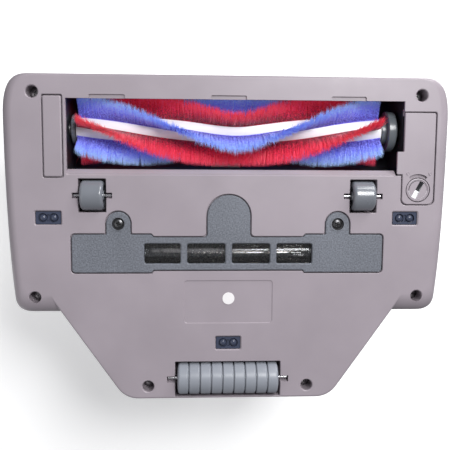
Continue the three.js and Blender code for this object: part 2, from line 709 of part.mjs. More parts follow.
const motorNose = rod(brushMotorLeft + 45, brushMotorLeft + 49, brushMotorY, brushMotorZ, 5, 16);
piece("brush_motor", brushMotor.add(motorNose), metal(0x9a9ca0, 0.4));

/** The belt's outline round both wheels, with its inner face clear of them by extra. */
function beltShape(extra) {
  const reach = Math.hypot(brushMotorY - brushY, brushMotorZ - brushZ);
  const [big, small] = [brushPulleyRadius + extra, motorPulleyRadius + extra];
  const lean = Math.acos((big - small) / reach);
  const shape = new THREE.Shape();
  shape.absarc(0, 0, big, lean, -lean, false);
  shape.absarc(reach, 0, small, -lean, lean, false);
  return shape;
}

function driveBelt() {
  const slope = Math.atan2(brushMotorZ - brushZ, brushMotorY - brushY);
  const depthX = pulleyRight - pulleyLeft - 1.6 - 2 * gap;
  const options = { depth: depthX, bevelEnabled: false, curveSegments: 9 };
  const loop = solid(new THREE.ExtrudeGeometry(beltShape(play + beltThickness), options)).subtract(
    solid(new THREE.ExtrudeGeometry(beltShape(play), { ...options, depth: depthX + 2 }).translate(0, 0, -1)),
  );
  const [c, s] = [Math.cos(slope), Math.sin(slope)];
  const turn = [0, c, s, 0, 0, -s, c, 0, 1, 0, 0, 0]; // the loop's own x runs up the slope, its z along the shaft
  return loop.transform([...turn, pulleyLeft + 0.8 + gap, brushY, brushZ, 1]);
}
piece("drive_belt", driveBelt(), rubber);

// ---- Covers, lock and screws of the underside --------------------------------------------------
const brushCoverPlate = slab(brushCoverOutline(), floorGap, floorGap + coverThickness).subtract(
  post(lockX, lockY, lockRadius + gap, floorGap - 1, floorGap + 5, 24),
);
const tongueFront = brushCoverStep + 0.4;
const tongue = block(
  brushCoverLeft + 6,
  brushCoverLeft + 11,
  tongueFront,
  tongueFront + 2,
  floorGap + 1.5,
  floorGap + 6,
);
piece("brush_cover", brushCoverPlate.add(tongue), casing);
const lockSlot = block(-1.5, 1.5, -6.6, 6.6, floorGap - 1, floorGap + 1.4)
  .rotate([0, 0, 28])
  .translate([lockX, lockY, 0]);
const lock = post(lockX, lockY, lockRadius, floorGap, floorGap + coverThickness + 0.8, 24).subtract(lockSlot);
piece("brush_cover_lock", lock, casing);
const beltCover = slab(beltCoverOutline(), floorGap, floorGap + coverThickness);
piece("belt_cover", beltCover, casing);

const uvScrewHead = 3.3;
let uvCover = slab(uvOutline(), floorGap, floorGap + coverThickness);
for (let i = 0; i < windowBars.length; i += 2) {
  const [x0, x1] = [windowBars[i], windowBars[i + 1]];
  const opening = roundRect((x0 + x1) / 2, uvY - 0.2, (x1 - x0) / 2, windowHalfY, 1.5);
  uvCover = uvCover.subtract(slab(opening, floorGap - 1, floorGap + 5, 3));
}
for (const s of [-1, 1]) {
  uvCover = uvCover
    .subtract(post(s * uvTabX, uvScrewY, uvScrewHead + gap, floorGap - 1, floorGap + 1.2))
    .subtract(post(s * uvTabX, uvScrewY, shankRadius + gap, floorGap - 1, floorGap + 5, 12));
}
piece("uv_cover", uvCover, darkPlastic);
["left", "right"].forEach((name, i) => {
  const x = (i * 2 - 1) * uvTabX;
  const head = post(x, uvScrewY, uvScrewHead, floorGap - 0.5, floorGap + 1.2 - gap, 16);
  const shank = post(x, uvScrewY, shankRadius, floorGap, ledgeTopZ + 6, 12);
  const socket = post(x, uvScrewY, 1.5, floorGap - 1, floorGap + 0.4, 6);
  piece(`uv_cover_screw_${name}`, head.add(shank).subtract(socket), steel);
});

// ---- Ultraviolet lamp --------------------------------------------------------------------------
const pane = block(
  gap - lampRoomHalfX,
  lampRoomHalfX - gap,
  uvY - lampRoomHalfY + gap,
  uvY + lampRoomHalfY - gap,
  coverFloorZ,
  coverFloorZ + 1.2,
);
piece("uv_window", pane, clear);
const tube = [
  [-lampHalf, lampRadius - 0.9],
  [-lampHalf, lampRadius],
  [lampHalf, lampRadius],
  [lampHalf, lampRadius - 0.9],
];
piece("uv_lamp", turned(tube, uvY, lampZ, 24), clear);
["left", "right"].forEach((name, i) => {
  const s = i * 2 - 1;
  const [near, far] = [s * (lampHalf + gap), s * (lampHalf + gap + 7.4)];
  const cap = rod(Math.min(near, far), Math.max(near, far), uvY, lampZ, lampCapRadius, 16);
  const pins = [-2, 2].map((off) =>
    rod(Math.min(far - s, far + s * 5), Math.max(far - s, far + s * 5), uvY + off, lampZ, 0.9, 8),
  );
  piece(`lamp_cap_${name}`, together(cap, ...pins), metal(0xd5d6d8));
});
const reflectorTop = lampZ + lampRadius + 2.6;
const reflector = block(-lampHalf + 1, lampHalf - 1, uvY - 10.6, uvY + 10.6, ledgeTopZ + gap, reflectorTop).subtract(
  block(-lampHalf, lampHalf, uvY - 9.6, uvY + 9.6, ledgeTopZ - 1, reflectorTop - 1),
);
piece("uv_reflector", reflector, metal(0xe3e4e6, 0.15));

// ---- Lift sensors ------------------------------------------------------------------------------
for (const [name, x, y] of sensorPlaces) {
  const plinth = block(
    x - sensorHalfX + gap,
    x + sensorHalfX - gap,
    y - sensorHalfY + gap,
    y + sensorHalfY - gap,
    floorGap + 2,
    ledgeTopZ + 3,
  );
  const body = block(x - sensorHalfX - 2, x + sensorHalfX + 2, y - 6, y + 6, ledgeTopZ + gap, ledgeTopZ + 7);
  const lenses = [-3.7, 3.7].map((off) =>
    solid(new THREE.SphereGeometry(2.5, 10, 6).rotateX(Math.PI / 2).translate(x + off, y, floorGap + 2.3)),
  );
  piece(`lift_sensor_${name}`, together(plinth, body, ...lenses), plastic(0x4a5470, 0.2));
}

// ---- Wheels and rear roller --------------------------------------------------------------------
["left", "right"].forEach((name, i) => {
  const x = (i * 2 - 1) * wheelX;
  const half = wheelWidth / 2;
  const tread = [
    [x - half, wheelAxleRadius + play],
    [x - half, wheelRadius - 2.2],
    [x - half + 0.7, wheelRadius - 0.7],
    [x - half + 2.4, wheelRadius],
    [x + half - 2.4, wheelRadius],
    [x + half - 0.7, wheelRadius - 0.7],
    [x + half, wheelRadius - 2.2],
    [x + half, wheelAxleRadius + play],
  ];
  piece(`front_wheel_${name}`, turned(tread, wheelY, wheelRadius), rubber);
  const axle = rod(x - wheelAxleHalf, x + wheelAxleHalf, wheelY, wheelRadius, wheelAxleRadius, 12);
  piece(`front_axle_${name}`, axle, steel);
});

/** The rear roller: nine ribs with narrow grooves between them. */
function rearRoller() {
  const ribs = 9;
  const pitch = rollerLength / ribs;
  const profile = [[-rollerLength / 2, rollerAxleRadius + play]];
  for (let i = 0; i < ribs; i++) {
    const start = -rollerLength / 2 + i * pitch;
    const rise = i ? 0.8 : 1.6;
    const fall = i < ribs - 1 ? 0.8 : 1.6;
    profile.push([start, rollerRadius - (i ? 1.4 : 3)]);
    profile.push([start + rise, rollerRadius]);
    profile.push([start + pitch - fall, rollerRadius]);
  }
  profile.push([rollerLength / 2, rollerRadius - 3]);
  profile.push([rollerLength / 2, rollerAxleRadius + play]);
  return turned(profile, rollerY, rollerRadius, 20);
}
piece("rear_roller", rearRoller(), rubber);
piece("rear_axle", rod(-rollerAxleHalf, rollerAxleHalf, rollerY, rollerRadius, rollerAxleRadius, 12), steel);

// ---- The upper half of the casing --------------------------------------------------------------
const collarRadius = cupRadius + 3;
const columnFront = cupY + cupRadius - 10;
const columnRear = cupY + cupRadius + 11;
const columnHalf = 19;
const columnTop = handleZ + 11;
const postY = rear - 13.5; // the handle's rear post
const latchY = columnRear - 7;
const latchHalfX = 9;
const latchHalfY = 3.4;

/** Where an exhaust grille sits: the middle of a slanting side, turned to lie along it. */
const grilleLength = 46;
const grilleZ = [partingZ + 2.5, partingZ + 12.5];
const slantTurn = 90 + THREE.MathUtils.radToDeg(Math.atan(slant));
const grilleY = (wingRear + rear) / 2 + 1;
const grilleX = slantX + tailDraft * Math.hypot(1, slant) - grilleY * slant;

function onSlant(body, s) {
  const placed = body.rotate([0, 0, slantTurn]).translate([grilleX, grilleY, 0]);
  return s > 0 ? placed : placed.mirror([1, 0, 0]);
}

const fanZ = [39, 50]; // bottom and top of the fan wheel
const ductFront = brushY + chamberRadius + housingWall + gap;
const ductRear = motorY - fanRadius - 3;

function topShell() {
  const outer = upperForm(0);
  const cavity = upperForm(wall, partingZ - 1);
  const collar = turnedUp(
    [
      [cupRadius + gap, hoodZ - 1],
      [collarRadius, hoodZ - 1],
      [collarRadius, hoodZ + 4],
      [collarRadius - 1, hoodZ + 5],
      [cupRadius + gap, hoodZ + 5],
    ],
    0,
    cupY,
    32,
  );
  const columnShape = roundRect(0, (columnFront + columnRear) / 2, columnHalf, (columnRear - columnFront) / 2, 6);
  const hollowShape = roundRect(
    0,
    (columnFront + columnRear) / 2,
    columnHalf - wall,
    (columnRear - columnFront) / 2 - wall,
    4,
  );
  const column = slab(columnShape, hoodZ - 6, columnTop).subtract(slab(hollowShape, hoodZ - 10, columnTop - wall));
  const cupRoom = post(0, cupY, cupRadius + gap, hoodZ, hoodZ + 200, 32);
  const innerWall = post(0, cupY, cupRadius + gap + wall, hoodZ - 4, columnTop, 32).intersect(
    slab(columnShape, hoodZ - 6, columnTop),
  );
  const posts = screwPlaces.map(([x, y]) => post(x, y, 4.4, seatZ + 2.4 + gap, deckZ)).map((b) =>
    b.intersect(upperForm(0.5, seatZ)),
  );
  const pilotHoles = screwPlaces.map(([x, y]) => post(x, y, shankRadius + gap, 0, partingZ + 2, 12));
  const wayIn = block(-portHalf + 1.5, portHalf - 1.5, portY - 5.5, portY + 5.5, hoodZ - 10, hoodZ + 1);
  const wayOut = post(0, cupY, outletRadius, hoodZ - 10, hoodZ + 1, 16);
  const ductFloor = fanZ[1] - 9;
  const duct = block(-12, 12, ductFront, ductRear, ductFloor, hoodZ - 1).intersect(upperForm(0.5));
  const ductHollow = block(-10.5, 10.5, ductFront + 1.5, ductRear + 1, ductFloor + 1.5, deckZ - wall);
  const [latchFront, latchRear] = [latchY - latchHalfY, latchY + latchHalfY];
  const latchSlot = block(-latchHalfX, latchHalfX, latchFront, latchRear, columnTop - 8, columnTop + 1);
  const grilleHoles = leftAndRight((s) =>
    onSlant(block(-grilleLength / 2, grilleLength / 2, -6, 6, grilleZ[0], grilleZ[1]), s),
  );
  const socketHole = block(-6.4, 6.4, rear - 12, rear + 5, partingZ + 4, partingZ + 13);
  return outer
    .subtract(cavity)
    .add(together(collar, column, innerWall, duct, ...posts))
    .subtract(together(ductHollow, cupRoom, wayIn, wayOut, latchSlot, socketHole, ...grilleHoles, ...pilotHoles));
}
piece("top_shell", topShell(), upperCasing);

/** A slotted insert for a slanting side, its back edge inside the wall. */
function exhaustGrille(s) {
  const half = grilleLength / 2 - gap;
  let plate = block(-half, half, 0.2, wall, grilleZ[0] + gap, grilleZ[1] - gap);
  const slots = 9;
  for (let i = 0; i < slots; i++) {
    const x = (i - (slots - 1) / 2) * ((2 * half - 4) / slots);
    plate = plate.subtract(block(x - 1, x + 1, -1, 5, grilleZ[0] + 2, grilleZ[1] - 2));
  }
  return onSlant(plate, s);
}
piece("exhaust_grille_left", exhaustGrille(-1), darkPlastic);
piece("exhaust_grille_right", exhaustGrille(1), darkPlastic);
const socketBody = block(-6, 6, rear - 11.6, rear - 0.6, partingZ + 4 + gap, partingZ + 13 - gap);
const socketMouth = solid(new THREE.CylinderGeometry(2.8, 2.8, 8, 16).translate(0, rear - 3, partingZ + 8.5));
piece("charge_socket", socketBody.subtract(socketMouth), blackPlastic);

// ---- Handle ------------------------------------------------------------------------------------
const gripHalfX = 15;
const gripHalfZ = 11;
const handleStart = columnRear + gap;

/** The handle's middle line in (y, z): level behind the column, round the back, and down to the deck. */
function handleLine() {
  const line = new THREE.CurvePath();
  const bend = 34;
  const p = (y, z) => new THREE.Vector2(y, z);
  line.add(new THREE.LineCurve(p(handleStart, handleZ), p(postY - bend, handleZ + 1)));
  line.add(
    new THREE.CubicBezierCurve(
      p(postY - bend, handleZ + 1),
      p(postY - 10, handleZ + 2),
      p(postY, handleZ - 12),
      p(postY, handleZ - bend - 2),
    ),
  );
  line.add(new THREE.LineCurve(p(postY, handleZ - bend - 2), p(postY, deckZ + gap)));
  return line;
}

/** A round-cornered section carried along the handle's line; over(t) gives its half width and its two faces. */
function alongHandle(from, to, steps, over) {
  const line = handleLine();
  const corners = 16;
  const rings = [];
  for (let i = 0; i <= steps; i++) {
    const t = from + ((to - from) * i) / steps;
    const at = line.getPointAt(t);
    const way = line.getTangentAt(t);
    const { half, low, high, square } = over(t);
    const [middle, tall] = [(high + low) / 2, (high - low) / 2];
    const ring = [];
    for (let j = 0; j < corners; j++) {
      const a = (j / corners) * 2 * Math.PI;
      const soften = (v) => Math.sign(v) * Math.abs(v) ** (2 / square);
      const out = middle + tall * soften(Math.sin(a));
      ring.push(new THREE.Vector3(half * soften(Math.cos(a)), at.x - way.y * out, at.y + way.x * out));
    }
    rings.push(ring);
  }
  return loft(rings);
}

const buttonY = [handleStart + 16, handleStart + 33];
const buttonHalfX = 6.5;
const buttonHalfY = 6;
const buttonTop = handleZ + gripHalfZ + 1.6;
let handle = alongHandle(0, 1, 14, () => ({ half: gripHalfX, low: -gripHalfZ, high: gripHalfZ, square: 2.8 }));
const padSection = () => ({ half: 11.5, low: -gripHalfZ - 2, high: -gripHalfZ + 1.4, square: 4 });
const pad = alongHandle(0.1, 0.62, 8, padSection);
const padRoom = alongHandle(0.096, 0.624, 8, () => ({
  half: 11.5 + gap,
  low: -gripHalfZ - 4,
  high: -gripHalfZ + 1.4 + gap,
  square: 4,
}));
handle = handle.subtract(padRoom);
for (const y of buttonY) {
  handle = handle.subtract(
    slab(roundRect(0, y, buttonHalfX + gap, buttonHalfY + gap, 2.5), buttonTop - 7, buttonTop + 5, 3),
  );
}
piece("handle", handle, upperCasing);
piece("handle_grip", pad, rubber);
["power_button", "mode_button"].forEach((name, i) => {
  const cap = slab(roundRect(0, buttonY[i], buttonHalfX, buttonHalfY, 2.5), buttonTop - 4, buttonTop, 3);
  piece(name, cap, i ? darkPlastic : plastic(0xc8313f, 0.35));
});

// ---- Dust cup ----------------------------------------------------------------------------------
const cupTop = cupZ + cupHeight;
const cupWall = 2;
const cup = turnedUp(
  [
    [outletRadius, cupZ],
    [cupRadius - 2, cupZ],
    [cupRadius, cupZ + 2],
    [cupRadius, cupTop],
    [cupRadius - cupWall, cupTop],
    [cupRadius - cupWall, cupZ + 2.5],
    [cupRadius - 4, cupZ + cupWall],
    [outletRadius, cupZ + cupWall],
  ],
  0,
  cupY,
  32,
);
const inlet = block(-portHalf + 1.5, portHalf - 1.5, portY - 5.5, portY + 5.5, cupZ - 1, cupZ + 3);
piece("dust_cup", cup.subtract(inlet), clear);
const lidTop = cupTop + 8;
const lid = turnedUp(
  [
    [0, cupTop + gap],
    [cupRadius, cupTop + gap],
    [cupRadius, cupTop + 5],
    [cupRadius - 3, lidTop - 0.6],
    [cupRadius - 8, lidTop],
    [0, lidTop],
  ],
  0,
  cupY,
  32,
);
const lidBar = slab(roundRect(0, cupY, 16, 4, 3.5), lidTop - 1, lidTop + 4, 4);
piece("cup_lid", lid.add(lidBar), upperCasing);
const filterRadius = 16.5;
const filterFoot = cupZ + cupWall + gap;
const filter = turnedUp(
  [
    [0, cupTop - 3],
    [0, cupTop],
    [filterRadius, cupTop],
    [filterRadius, filterFoot],
    [filterRadius - 5, filterFoot],
    [filterRadius - 5, cupTop - 3],
  ],
  0,
  cupY,
  24,
);
piece("dust_filter", filter, plastic(0xd8d4cf, 0.9));
const latch = block(
  -latchHalfX + gap,
  latchHalfX - gap,
  latchY - latchHalfY + gap,
  latchY + latchHalfY - gap,
  columnTop - 4,
  columnTop + 2.2,
);
piece("cup_latch", latch, darkPlastic);

// ---- Air ducts, fan, battery and board ---------------------------------------------------------
const fanMotorTop = fanZ[0] - 1.5;
const fanMotor = post(0, motorY, fanMotorRadius, ledgeTopZ + gap, fanMotorTop, 24).subtract(
  post(0, motorY, 3.4 + play, fanMotorTop - 6, fanMotorTop + 1, 12),
);
piece("suction_motor", fanMotor, metal(0x8d9096, 0.4));
let impeller = post(0, motorY, fanRadius, fanZ[0], fanZ[0] + 1.5, 24)
  .add(post(0, motorY, 6, fanZ[0], fanZ[1] - 1, 16))
  .add(post(0, motorY, 3, fanMotorTop - 5, fanZ[0] + 1, 12));
const blades = 7;
for (let i = 0; i < blades; i++) {
  const blade = block(4, fanRadius - 1, -0.7, 0.7, fanZ[0] + 1, fanZ[1] - 1.5);
  impeller = impeller.add(blade.translate([0, 4, 0]).rotate([0, 0, (360 / blades) * i]).translate([0, motorY, 0]));
}
piece("fan_impeller", impeller, upperCasing);
const batteryZ = 2 * rollerRadius + 1.2 + wellWall + gap;
piece("battery_pack", block(-42, 42, motorRear + 9.5, rear - 14, batteryZ, batteryZ + 10), plastic(0x2f5fa8, 0.5));
const boardZ = reflectorTop + gap;
piece("control_board", block(-44, 44, uvY - 12, uvY + 8, boardZ, boardZ + 1.6), plastic(0x1f6b3a, 0.6));

export default model;
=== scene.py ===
# %% [markdown]
# # A hand-held carpet and bed sweeper
# This lesson dresses a working model of a small electric sweeper. The working model gives every place and
# size: its casing, wheels, brush roll, lamp, cup and handle. Here each visible piece gets its finished shape
# and its finish. The first cell loads the working model. Everything after it is placed from that model, so
# nothing needs fitting.

# %% Load the working model
import math
import random

import bmesh
import bpy
from mathutils import Matrix, Vector


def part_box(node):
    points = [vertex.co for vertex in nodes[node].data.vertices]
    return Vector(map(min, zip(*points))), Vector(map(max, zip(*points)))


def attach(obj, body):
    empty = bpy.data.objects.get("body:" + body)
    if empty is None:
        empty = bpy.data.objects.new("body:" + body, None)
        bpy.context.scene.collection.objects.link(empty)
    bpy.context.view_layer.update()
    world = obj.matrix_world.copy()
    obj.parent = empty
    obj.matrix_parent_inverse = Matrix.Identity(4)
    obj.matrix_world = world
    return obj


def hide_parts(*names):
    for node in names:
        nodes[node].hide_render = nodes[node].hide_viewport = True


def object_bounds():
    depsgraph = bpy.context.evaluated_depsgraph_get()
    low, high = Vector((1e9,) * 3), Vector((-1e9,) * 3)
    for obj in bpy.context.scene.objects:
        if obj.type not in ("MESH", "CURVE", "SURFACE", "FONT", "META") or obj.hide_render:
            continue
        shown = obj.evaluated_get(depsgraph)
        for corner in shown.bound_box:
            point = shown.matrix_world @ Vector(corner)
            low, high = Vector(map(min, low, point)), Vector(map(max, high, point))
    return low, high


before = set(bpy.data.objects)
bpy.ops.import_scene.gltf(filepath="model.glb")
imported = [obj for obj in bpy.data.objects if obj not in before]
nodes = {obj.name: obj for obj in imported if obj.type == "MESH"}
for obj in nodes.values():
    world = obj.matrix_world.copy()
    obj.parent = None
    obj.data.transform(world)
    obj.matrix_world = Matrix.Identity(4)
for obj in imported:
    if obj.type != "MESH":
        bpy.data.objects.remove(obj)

cad_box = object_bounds()
print("working model:", len(nodes), "pieces,", [round((b - a) * 1000) for a, b in zip(*cad_box)], "mm")

# %% [markdown]
# ## Measures
# The outlines below are drawn in millimetres, because that is how a moulding is measured. The driving sizes
# come from the boxes of the working model's pieces. `mm` turns a box into millimetres, and all meshes shrink
# to metres when they are made.

# %% Read the driving sizes from the working model
MM = 0.001


def mm(node):
    """A piece's lowest and highest corner in millimetres."""
    low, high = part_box(node)
    return [c / MM for c in low], [c / MM for c in high]


def middle(node):
    """The middle of a piece's box in millimetres."""
    low, high = mm(node)
    return [(a + b) / 2 for a, b in zip(low, high)]


base_low, base_high = mm("base_shell")
side = base_high[0]
front = base_low[1]
rear = base_high[1]
floor_gap = base_low[2]
parting = base_high[2]
brush_y, brush_z = middle("brush_shaft")[1:]
core_left, core_right = mm("brush_core")[0][0], mm("brush_core")[1][0]
core_radius = (mm("brush_core")[1][2] - mm("brush_core")[0][2]) / 2
brush_radius = 26
wheel_x, wheel_y, wheel_z = middle("front_wheel_right")
roller_y, roller_z = middle("rear_roller")[1:]
uv_x0, uv_x1 = mm("uv_cover")[0][0], mm("uv_cover")[1][0]
lamp_y, lamp_z = middle("uv_lamp")[1:]
cup_low, cup_high = mm("dust_cup")
cup_y = (cup_low[1] + cup_high[1]) / 2
cup_radius = cup_high[0]
wing_rear = rear - 61.8
gap = 0.35
wall = 2.4
print("casing half width", round(side, 1), "brush axis", round(brush_y, 1), round(brush_z, 1))

# %% [markdown]
# ## The eye
# The sweeper stands on its wheels, and the eye lies under it and looks up at its belly, slightly off square.
# A 50 mm lens on a 36 mm sensor, about 43 cm away, gives the gentle perspective of a small product on a
# table.

# %% Place the camera
camera_data = bpy.data.cameras.new("eye")
camera_data.lens = 50
camera_data.sensor_width = 36
camera = bpy.data.objects.new("eye", camera_data)
bpy.context.scene.collection.objects.link(camera)
eye_place = Vector((-23.3, -56.3, -420.7)) * MM
eye_turn = Vector([math.radians(a) for a in (6.02, -2.74, 0.2)])
look = Matrix.Rotation(eye_turn.length, 3, eye_turn.normalized())
right, up, back = look[0], -look[1], -look[2]
camera.matrix_world = Matrix.Translation(eye_place) @ Matrix((right, up, back)).transposed().to_4x4()
bpy.context.scene.camera = camera
print("camera at", [round(c, 3) for c in eye_place])

# %% [markdown]
# ## The table
# A pale surface lies behind the sweeper as it is seen from below, and a pale floor lies under its wheels for
# every view from above. Each is seen only from its own side, so neither ever hides the sweeper: the back of
# the sheet lets light through. The sheets take no part in the lighting either, so the sweeper stands in
# open, even light.


# %% Make the two pale surfaces
def one_sided(name, colour):
    """A matt white with a faint glow, that can be seen from its front only."""
    material = bpy.data.materials.new(name)
    material.use_nodes = True
    tree = material.node_tree
    tree.nodes.clear()
    out = tree.nodes.new("ShaderNodeOutputMaterial")
    mix = tree.nodes.new("ShaderNodeMixShader")
    paper = tree.nodes.new("ShaderNodeBsdfDiffuse")
    paper.inputs["Color"].default_value = (*colour, 1)
    glow = tree.nodes.new("ShaderNodeEmission")
    glow.inputs["Strength"].default_value = 0.24
    lit = tree.nodes.new("ShaderNodeAddShader")
    clear = tree.nodes.new("ShaderNodeBsdfTransparent")
    side_seen = tree.nodes.new("ShaderNodeNewGeometry")
    tree.links.new(side_seen.outputs["Backfacing"], mix.inputs[0])
    tree.links.new(paper.outputs[0], lit.inputs[0])
    tree.links.new(glow.outputs[0], lit.inputs[1])
    tree.links.new(lit.outputs[0], mix.inputs[1])
    tree.links.new(clear.outputs[0], mix.inputs[2])
    tree.links.new(mix.outputs[0], out.inputs["Surface"])
    return material


def pale_sheet(name, height, faces_up, half=12.0):
    """A large flat sheet at a height, facing up or down."""
    corners = [(-half, -half, height), (half, -half, height), (half, half, height), (-half, half, height)]
    mesh = bpy.data.meshes.new(name)
    mesh.from_pydata(corners, [], [(0, 1, 2, 3) if faces_up else (3, 2, 1, 0)])
    mesh.materials.append(one_sided(name + "_paper", (0.93, 0.93, 0.93)))
    sheet = bpy.data.objects.new(name, mesh)
    bpy.context.scene.collection.objects.link(sheet)
    for ray in ("diffuse", "glossy", "transmission", "volume_scatter", "shadow"):
        setattr(sheet, "visible_" + ray, False)
    return sheet


pale_sheet("floor", 0.0, True)
pale_sheet("table", cad_box[1][2] + 0.012, False)
print("floor at 0, table", round(cad_box[1][2] * 1000 + 12), "mm up")


# %% [markdown]
# ## Light
# Soft boxes, as in a small studio: one large key light below the belly, a weaker fill from the left, a low
# one in front that rakes over the belly's edges, and two more above for the views from the other side. A
# pale surrounding keeps the shadows open.


# %% Hang the lights
def soft_box(name, place, target, size, watts):
    """A square lamp at place, in metres, that points at target."""
    data = bpy.data.lights.new(name, "AREA")
    data.size = size
    data.energy = watts
    lamp = bpy.data.objects.new(name, data)
    lamp.location = place
    lamp.rotation_euler = (Vector(target) - Vector(place)).to_track_quat("-Z", "Y").to_euler()
    bpy.context.scene.collection.objects.link(lamp)


heart = (0, 0, 0.03)
soft_box("key_below", (0.30, -0.45, -0.85), heart, 0.4, 10)
soft_box("fill_below", (-0.8, 0.3, -0.6), heart, 0.9, 2.2)
soft_box("front_below", (0.6, -0.95, -0.32), heart, 0.5, 9)
soft_box("key_above", (0.7, -0.7, 0.95), heart, 0.7, 5)
soft_box("fill_above", (-0.9, 0.6, 0.8), heart, 1.0, 2.2)
world = bpy.data.worlds.new("studio")
world.use_nodes = True
world.node_tree.nodes["Background"].inputs["Color"].default_value = (0.95, 0.96, 1.0, 1)
world.node_tree.nodes["Background"].inputs["Strength"].default_value = 0.3
bpy.context.scene.world = world
bpy.context.scene.view_settings.view_transform = "Standard"
print("five soft boxes")

# %% [markdown]
# ## Moulded plastic
# Every plastic on the sweeper is one recipe with other numbers. Real mouldings are never one flat colour:
# the pigment drifts a little over the surface, the gloss is uneven from handling, and the tool leaves a fine
# grain. Three noises at three scales give those three things: a broad one for colour, a middle one for
# gloss, a fine one for grain.


# %% The plastic recipe
def noise(tree, scale, detail=3.0, rough=0.55):
    """A noise over the object's own space, in features per metre."""
    place = tree.nodes.new("ShaderNodeTexCoord")
    node = tree.nodes.new("ShaderNodeTexNoise")
    node.inputs["Scale"].default_value = scale
    node.inputs["Detail"].default_value = detail
    node.inputs["Roughness"].default_value = rough
    tree.links.new(place.outputs["Object"], node.inputs["Vector"])
    return node.outputs["Fac"]


def spread(tree, source, low, high, dark=0.3, light=0.7):
    """Maps the usable part of a noise to the range from low to high."""
    node = tree.nodes.new("ShaderNodeMapRange")
    node.inputs["From Min"].default_value = dark
    node.inputs["From Max"].default_value = light
    node.inputs["To Min"].default_value = low
    node.inputs["To Max"].default_value = high
    tree.links.new(source, node.inputs["Value"])
    return node.outputs["Result"]


def tinted(tree, factor, first, second):
    """A colour that runs from first to second."""
    node = tree.nodes.new("ShaderNodeMix")
    node.data_type = "RGBA"
    node.inputs["A"].default_value = (*first, 1)
    node.inputs["B"].default_value = (*second, 1)
    tree.links.new(factor, node.inputs["Factor"])
    return node.outputs["Result"]


def raised(tree, height, strength, distance):
    """A bump from a height."""
    node = tree.nodes.new("ShaderNodeBump")
    node.inputs["Strength"].default_value = strength
    node.inputs["Distance"].default_value = distance
    tree.links.new(height, node.inputs["Height"])
    return node.outputs["Normal"]


def new_finish(name):
    """An empty finish and its shader."""
    material = bpy.data.materials.new(name)
    material.use_nodes = True
    tree = material.node_tree
    return material, tree, tree.nodes["Principled BSDF"]


def plastic(name, colour, gloss, grain=0.12, grain_scale=2600, drift=0.06, coat=0.0, speckle=0.0):
    """Moulded plastic; speckle lets its fine grain show in the colour as well."""
    material, tree, shader = new_finish(name)
    darker = [c * (1 - drift) for c in colour]
    lighter = [min(1, c * (1 + drift)) for c in colour]
    shader.inputs["Specular IOR Level"].default_value = 0.45
    shader.inputs["Coat Weight"].default_value = coat
    shader.inputs["Coat Roughness"].default_value = 0.08
    broad = spread(tree, noise(tree, 22), 0, 1)
    fine = noise(tree, grain_scale, 2)
    blend = tree.nodes.new("ShaderNodeMix")
    blend.inputs["Factor"].default_value = speckle
    tree.links.new(broad, blend.inputs["A"])
    tree.links.new(spread(tree, fine, 0, 1), blend.inputs["B"])
    tree.links.new(tinted(tree, blend.outputs["Result"], darker, lighter), shader.inputs["Base Color"])
    tree.links.new(spread(tree, noise(tree, 60), gloss - 0.05, gloss + 0.07), shader.inputs["Roughness"])
    tree.links.new(raised(tree, fine, grain, 0.0002), shader.inputs["Normal"])
    return material


casing_finish = plastic("casing_mauve_grey", (0.290, 0.254, 0.284), 0.38, grain=0.10)
upper_finish = plastic("upper_pale_gloss", (0.64, 0.60, 0.615), 0.26, grain=0.02, drift=0.02, coat=0.25)
slate_finish = plastic("textured_slate", (0.125, 0.134, 0.158), 0.5, grain=0.7, grain_scale=1000, drift=0.45,
                       speckle=0.8)
black_finish = plastic("inner_black", (0.018, 0.018, 0.022), 0.45)
wheel_finish = plastic("wheel_grey", (0.150, 0.160, 0.182), 0.24, grain=0.15, grain_scale=900, drift=0.16,
                       coat=0.35)
roller_finish = plastic("roller_grey", (0.235, 0.250, 0.285), 0.33, grain=0.15, grain_scale=900, drift=0.10)
core_finish = plastic("core_white", (0.90, 0.90, 0.92), 0.3, grain=0.03, drift=0.03)
grip_finish = plastic("soft_grip", (0.10, 0.10, 0.12), 0.7, grain=0.8, grain_scale=1100)
red_finish = plastic("button_red", (0.62, 0.03, 0.05), 0.28, coat=0.4)
sensor_finish = plastic("sensor_block", (0.040, 0.048, 0.080), 0.25)
belt_finish = plastic("belt_black", (0.02, 0.02, 0.02), 0.75, grain=0.5)
battery_finish = plastic("battery_sleeve", (0.03, 0.12, 0.36), 0.3)
board_finish = plastic("board_green", (0.015, 0.14, 0.05), 0.35)
print("plastics:", len([m for m in bpy.data.materials if m.name.count("_")]))

# %% [markdown]
# ## Metal, glass, filter paper
# The axles and screws are turned steel, with a faint fine grain. The cup, the lamp's pane and the
# lamp's tube are clear: a thin tint, a strong gloss and a little haze from fine scratches. The filter is
# pleated paper.


# %% Metal and clear finishes
def steel(name, colour, rough, rings=3200):
    """Turned metal: a fine grain in the bump and uneven gloss."""
    material, tree, shader = new_finish(name)
    shader.inputs["Metallic"].default_value = 1.0
    dark = [c * 0.8 for c in colour]
    tree.links.new(tinted(tree, noise(tree, 300), dark, colour), shader.inputs["Base Color"])
    tree.links.new(spread(tree, noise(tree, 500), rough - 0.06, rough + 0.1), shader.inputs["Roughness"])
    tree.links.new(raised(tree, noise(tree, rings, 4), 0.15, 0.0001), shader.inputs["Normal"])
    return material


